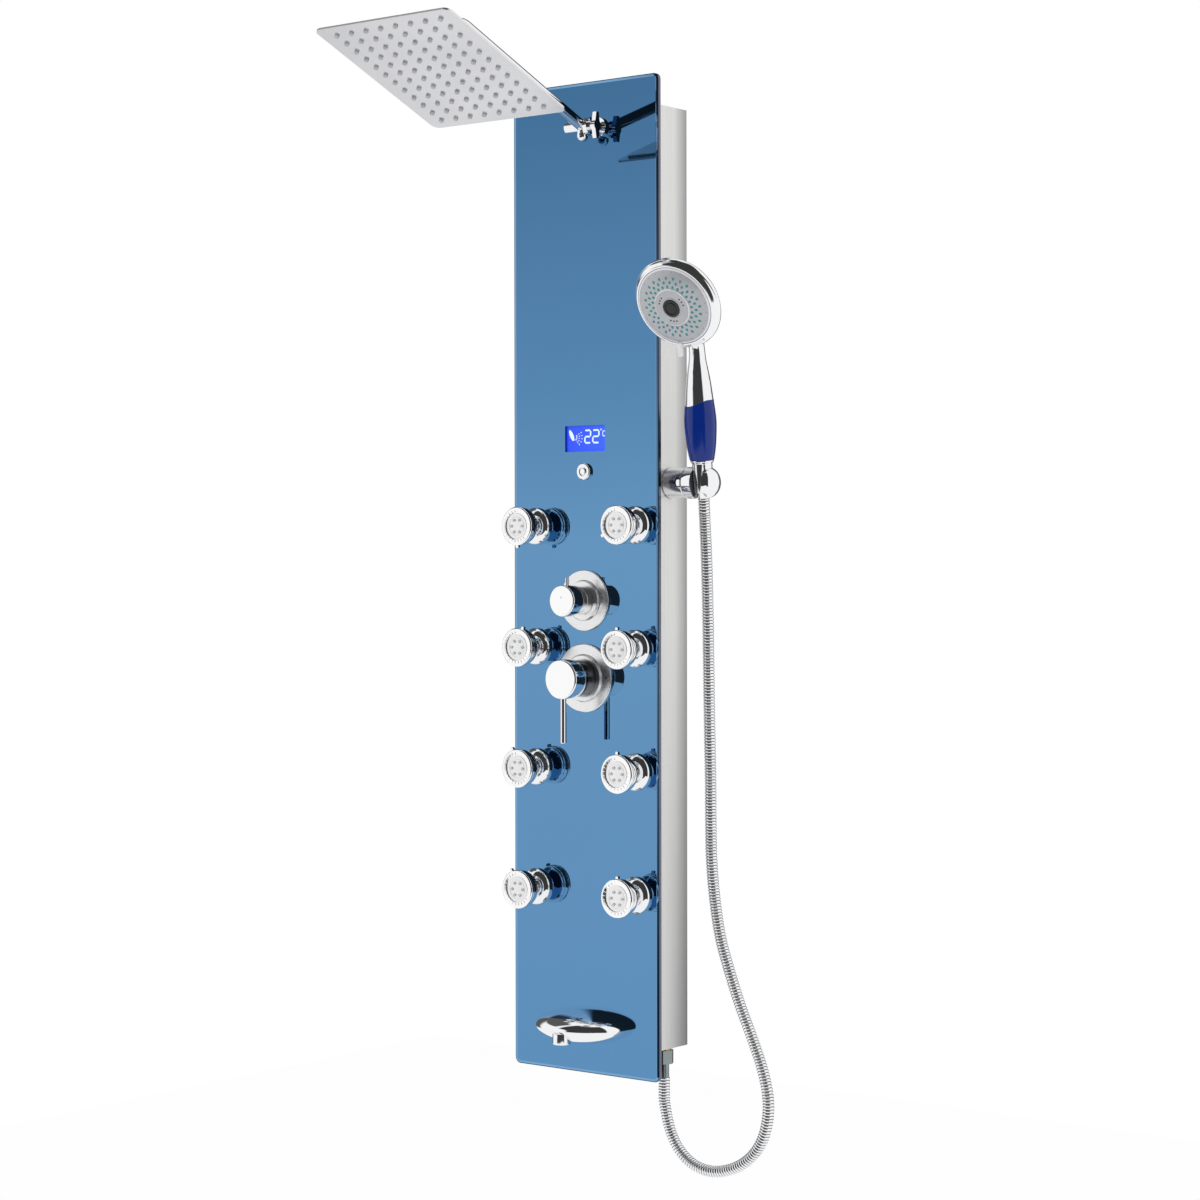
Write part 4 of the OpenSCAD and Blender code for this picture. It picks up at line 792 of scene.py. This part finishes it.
def grip():
    """The coloured grip: its upper edge dips in front in the shape of a U."""
    outside = []
    for j in range(GRIP_ROWS + 1):
        ring = []
        for a in turns(GRIP_SIDES):
            high = GRIP_HIGH - GRIP_DIP * max(0.0, math.cos(a + GRIP_FRONT)) ** 1.2
            z = GRIP_LOW + (high - GRIP_LOW) * j / GRIP_ROWS
            ring.append((handle_radius(z) * math.cos(a), handle_radius(z) * math.sin(a), z))
        outside.append(ring)
    under = [[(x * s, y * s, z + d) for x, y, z in outside[-1]]
             for s, d in ((0.985, 0.35), (0.955, 0.1), (0.93, -1.5))]
    low = [[(x * s, y * s, GRIP_LOW) for x, y, z in outside[0]] for s in (0.8, 0.97)]
    outside[0] = [(x, y, GRIP_LOW + 0.6) for x, y, z in outside[0]]
    shape = Shape()
    shape.rings(low + outside + under, HANDLE)
    shape.make("handset_sleeve", M["grip_blue"], "handset", "grip_blue", ["handset_grip"])


grip()
tail = Shape()
tail.lathe(soften([(0, 0), (11.97, 0), (13.3, 38), (15.2, 40.2, 0.4), (15.4, 42.2, 0.4), (12.6, 42.4), (12.6, 60),
                   (0, 60)]), HANDLE, 72)
tail.make("handset_tail", M["chromed_plastic"], "handset", "chromed_plastic", ["handset_body"])


def one_skin(obj, voxel, rounds):
    """Joins a piece's shells into one smooth skin. voxel is in metres."""
    m = obj.modifiers.new("one_skin", "REMESH")
    m.mode = "VOXEL"
    m.voxel_size = voxel
    m = obj.modifiers.new("soft", "SMOOTH")
    m.iterations = rounds
    m.factor = 0.5
    graph = bpy.context.evaluated_depsgraph_get()
    mesh = bpy.data.meshes.new_from_object(obj.evaluated_get(graph))
    obj.modifiers.clear()
    for held in obj.data.materials:
        if held.name not in [m.name for m in mesh.materials if m]:
            mesh.materials.append(held)
    obj.data = mesh
    mesh.shade_smooth()


def neck_radius(z):
    """The radius at a length along the neck's middle line, counted as the handle's heights are."""
    if z < NECK_HIGH:
        return handle_radius(z) - 0.15
    return NECK_THIN + NECK_WIDER * min(1.0, (z - NECK_HIGH) / NECK_FLARE)


neck = Shape()
line = [HANDLE @ Vector((0, 0, z)) for z in range(NECK_LOW, 176, 8)]
line += [HANDLE @ Vector((0, 0, 183)), HEAD @ Vector((0, -60, -26.5)), HEAD @ Vector((0, -45, -24)),
         HEAD @ Vector((0, -30, -21)), HEAD @ Vector((0, -12, -17)), HEAD @ Vector((0, 6, -15))]
line = through(line, 4)
reach = [NECK_LOW]
for a, b in zip(line, line[1:]):
    reach.append(reach[-1] + (b - a).length)
neck.tube(line, [neck_radius(z) for z in reach], 40)
back = [(0, -29.6), (22, -28.8, 4), (37, -26.4, 6), (48, -22.4, 6), (56, -17, 4), (59.7, -12.8, 1.5),
        (59.9, -9, 0.5), (0, -6)]
neck.lathe(soften(back, 0.5, 6), HEAD, 96)
skin = neck.make("handset_shell", M["chromed_plastic"], "handset", "chromed_plastic", ["handset_body"])
one_skin(skin, 0.0014, 14)
rim = Shape()
rim.lathe(soften([(52.4, -4.0), (52.4, 0.9, 0.2), (52.9, 1.0, 0.3), (54.3, 1.0, 0.3), (54.8, 0.2, 0.4),
                  (56.4, -1.3, 1.5), (58.5, -3.4, 1.5), (59.4, -5.0, 0.4), (59.8, -5.5, 0.2), (60.2, -5.8, 0.3),
                  (61.0, -7.8, 0.6), (60.9, -10.0, 0.6), (59.3, -12.8, 1.0), (55.5, -12.0)]),
          HEAD, 128, closed=True)
rim.make("handset_rim", M["chromed_plastic"], "handset", "chromed_plastic", ["handset_body"])

# The face's outline as (radius, height), to its raised middle
FACE_MIDDLE = 8.0
FACE = [(52.2, 0.0), (51.4, 0.9), (50, 1.6), (45, 3.2), (39, 4.6), (32, 5.7), (26.4, 6.2), (25.4, 6.7), (24.2, 7.5),
        (20, 7.8), (15, 8.0), (13.6, 8.0)]


def face_height(r):
    for a, b in zip(FACE, FACE[1:]):
        if b[0] <= r <= a[0]:
            return b[1] + (a[1] - b[1]) * (r - b[0]) / (a[0] - b[0])
    return FACE_MIDDLE


front = Shape()
front.lathe(soften([(8, -13), (8, -2.7), (52.2, -2.7, 0.2)] + [(*p, 0.8) for p in FACE]
                   + [(13.5, 8.4, 0.2), (12.9, 9.1, 0.4), (12.1, 9.1, 0.3), (11.9, 8.1, 0.1), (0, FACE_MIDDLE)]),
            HEAD, 128)
# Two pale rings, and the selector tab
front.lathe(soften([(49.2, 1.2), (51.9, 0.3), (51.7, 1.4, 0.3), (50.2, 2.1, 0.3), (49.4, 2.2, 0.2),
                    (49.2, 1.2)])[:-1], HEAD, 128, mat=1, closed=True)
front.lathe(soften([(23.9, 7.0), (25.2, 6.6), (25.2, 7.1, 0.3), (24.5, 7.8, 0.2), (23.9, 7.8, 0.2),
                    (23.9, 7.0)])[:-1], HEAD, 96, mat=1, closed=True)
tab = [(-3.2, -68.6), (-2.2, -69.5), (2.2, -69.5), (3.2, -68.6), (3.5, -61.0), (3.5, -50), (-3.5, -50),
       (-3.5, -61.0)]
front.slab(tab, 1.3, 5.2, HEAD @ turn("Z", -6), 1, 0.6)
front.make("handset_front", [M["face_grey"], M["face_light"]], "handset_front", "face_grey", ["handset_face"])
centre = Shape()
centre.lathe(soften([(0, FACE_MIDDLE), (11.7, 8.0), (11.7, 9.0, 0.4), (11.2, 9.5, 0.4), (8.6, 9.4, 0.2),
                     (8.2, 8.7, 0.2), (7.4, 8.7, 0.2), (7.0, 9.4, 0.2), (0, 9.5)]), HEAD, 72)
centre.make("handset_centre", M["black_gloss"], "handset_front", "dark_plastic", ["handset_button"])
dots = Shape()


def dot(radius, angle, long, wide, tall, mat, sides=14):
    """A low rounded nozzle on the face, at a radius and an angle."""
    spot = HEAD @ turn("Z", angle) @ move(radius, 0, face_height(radius) - 0.3)
    profile = [(1.0, 0), (0.92, tall + 0.1, 0.25), (0.6, tall + 0.3, 0.2), (0, tall + 0.3)]
    dots.lathe(soften(profile, 0.1, 2), spot, sides, mat, squash=(long, wide))


for ring, radius in enumerate((28.0, 33.5, 39.0)):
    for k in range(24):
        dot(radius, 15 * k + 7.5 * (ring % 2), 2.3, 1.65, 0.5, 0)
for k in range(24):
    dot(46.8, 15 * k + 4, 0.75, 0.75, 0.25, 1, 10)
for base in (25, 145, 265):
    for step in (-14, 0, 14):
        dot(18.0, base + step, 1.25, 1.25, 0.3, 2, 12)
NOZZLE_LOOK = [M["nozzle_teal"], M["nozzle_rubber"], M["black_gloss"]]
dots.make("handset_nozzles", NOZZLE_LOOK, "handset_front", "nozzle_rubber")

# Floor. FLOOR_GLOW is the share of white that the camera and the mirrors see in it
FLOOR_Z, FLOOR_HALF, FLOOR_GLOW = -1.75, 2.6, 0.93
corners = [(x * FLOOR_HALF, y * FLOOR_HALF, FLOOR_Z) for x, y in ((-1, -1), (1, -1), (1, 1), (-1, 1))]
floor_mesh = bpy.data.meshes.new("floor")
floor_mesh.from_pydata(corners, [], [(0, 1, 2, 3)])
floor = bpy.data.objects.new("floor", floor_mesh)
scene.collection.objects.link(floor)
s = Surface("floor", (0.92, 0.92, 0.92, 1), 0.9).mottle(0.7, 0.015)
path = s.node("ShaderNodeLightPath").outputs
seen = path["Is Camera Ray"]
for ray in ("Is Glossy Ray", "Is Transmission Ray"):
    seen = s.node("ShaderNodeMath", {0: seen, 1: path[ray]}, operation="MAXIMUM").outputs[0]
part = s.node("ShaderNodeMath", {0: seen, 1: FLOOR_GLOW}, operation="MULTIPLY").outputs[0]
pale = s.node("ShaderNodeEmission", {"Color": (1, 1, 1, 1), "Strength": 1.0}).outputs[0]
blend = s.node("ShaderNodeMixShader", {0: part, 1: s.shader.outputs[0], 2: pale})
s.tree.links.new(blend.outputs[0], s.tree.nodes["Material Output"].inputs["Surface"])
floor_mesh.materials.append(s.mat)

# World: white, and for glossy rays a studio with dark parts, which draw the dark lines on chrome. FILL is its
# strength for all other light, and the three others say how dark the parts are
DEGREES = math.degrees(1.0)
FILL, FLAG_DARK, FAR_DARK, EDGE_DARK = 0.88, 0.96, 0.9, 0.9
world = bpy.data.worlds.new("studio")
scene.world = world
world.use_nodes = True
tree = world.node_tree


def add(kind, inputs=None, **props):
    """A node of the world, given by its first output."""
    return add_node(tree, kind, inputs or {}, props).outputs[0]


def maths(operation, *values):
    return add("ShaderNodeMath", dict(enumerate(values)), operation=operation)


def smooth(value, start, stop, low=0.0, high=1.0):
    """Goes smoothly from low to high while value goes from start to stop."""
    return add("ShaderNodeMapRange", {"Value": value, "From Min": start, "From Max": stop, "To Min": low,
                                      "To Max": high}, interpolation_type="SMOOTHSTEP")


def band(value, a, b, c, d):
    """1 between b and c, falling to 0 at a and at d."""
    return maths("MULTIPLY", smooth(value, a, b), smooth(value, c, d, 1.0, 0.0))


direction = add("ShaderNodeTexCoord")
x, y, z = add("ShaderNodeSeparateXYZ", {"Vector": direction}).node.outputs
azimuth = maths("MULTIPLY", maths("ARCTAN2", y, x), DEGREES)
height = maths("MULTIPLY", maths("ARCSINE", z), DEGREES)


def cone(axis, wide, narrow):
    """1 inside the narrow angle round an axis, falling to 0 at the wide one."""
    near = add("ShaderNodeVectorMath", {0: direction, 1: axis}, operation="DOT_PRODUCT").node.outputs["Value"]
    return smooth(near, math.cos(math.radians(wide)), math.cos(math.radians(narrow)))


# A dark flag in front, with a white patch that the flat faces mirror
flag = maths("MULTIPLY", band(azimuth, -131, -126, -22, -17), band(height, -76, -68, 68, 76))
flag = maths("MULTIPLY", flag, maths("SUBTRACT", 1.0, cone((forward.x, -forward.y, 0.0), 22, 17)))
flag = maths("MULTIPLY", flag, FLAG_DARK)
# Dark bands high and low at the left, and a dark disc behind the object
far = maths("MULTIPLY", band(maths("ABSOLUTE", azimuth), 138, 146, 190, 200),
            band(maths("ABSOLUTE", height), 28, 34, 60, 66))
far = maths("MULTIPLY", far, FAR_DARK)
edge = maths("MULTIPLY", cone(forward, 60, 46), EDGE_DARK)
dark = maths("MAXIMUM", maths("MAXIMUM", flag, far), edge)
studio = add("ShaderNodeMapRange", {"Value": dark, "To Min": 1.0, "To Max": 0.0})
path = add("ShaderNodeLightPath").node.outputs
lit = add("ShaderNodeMix", {0: path["Is Glossy Ray"], 2: FILL, 3: studio}, data_type="FLOAT")
shown = maths("MAXIMUM", path["Is Camera Ray"], path["Is Transmission Ray"])
strength = add("ShaderNodeMix", {0: shown, 2: lit, 3: 1.0}, data_type="FLOAT")
background = tree.nodes["Background"]
tree.links.new(strength, background.inputs["Strength"])
background.inputs["Color"].default_value = (1, 1, 1, 1)


def lamp(name, where, at, size, power):
    """A round soft lamp that no mirror shows."""
    data = bpy.data.lights.new(name, "AREA")
    data.shape, data.size, data.energy = "DISK", size, power
    obj = bpy.data.objects.new(name, data)
    scene.collection.objects.link(obj)
    obj.location = where
    obj.visible_glossy = False
    obj.rotation_euler = (Vector(at) - Vector(where)).to_track_quat("-Z", "Y").to_euler()


lamp("soft_left", (-2.4, -2.6, 2.2), (0, 0, -0.5), 2.0, 28)
lamp("soft_right", (2.8, -1.2, 1.6), (0, 0, -0.5), 2.0, 14)
scene.view_settings.view_transform = "Standard"
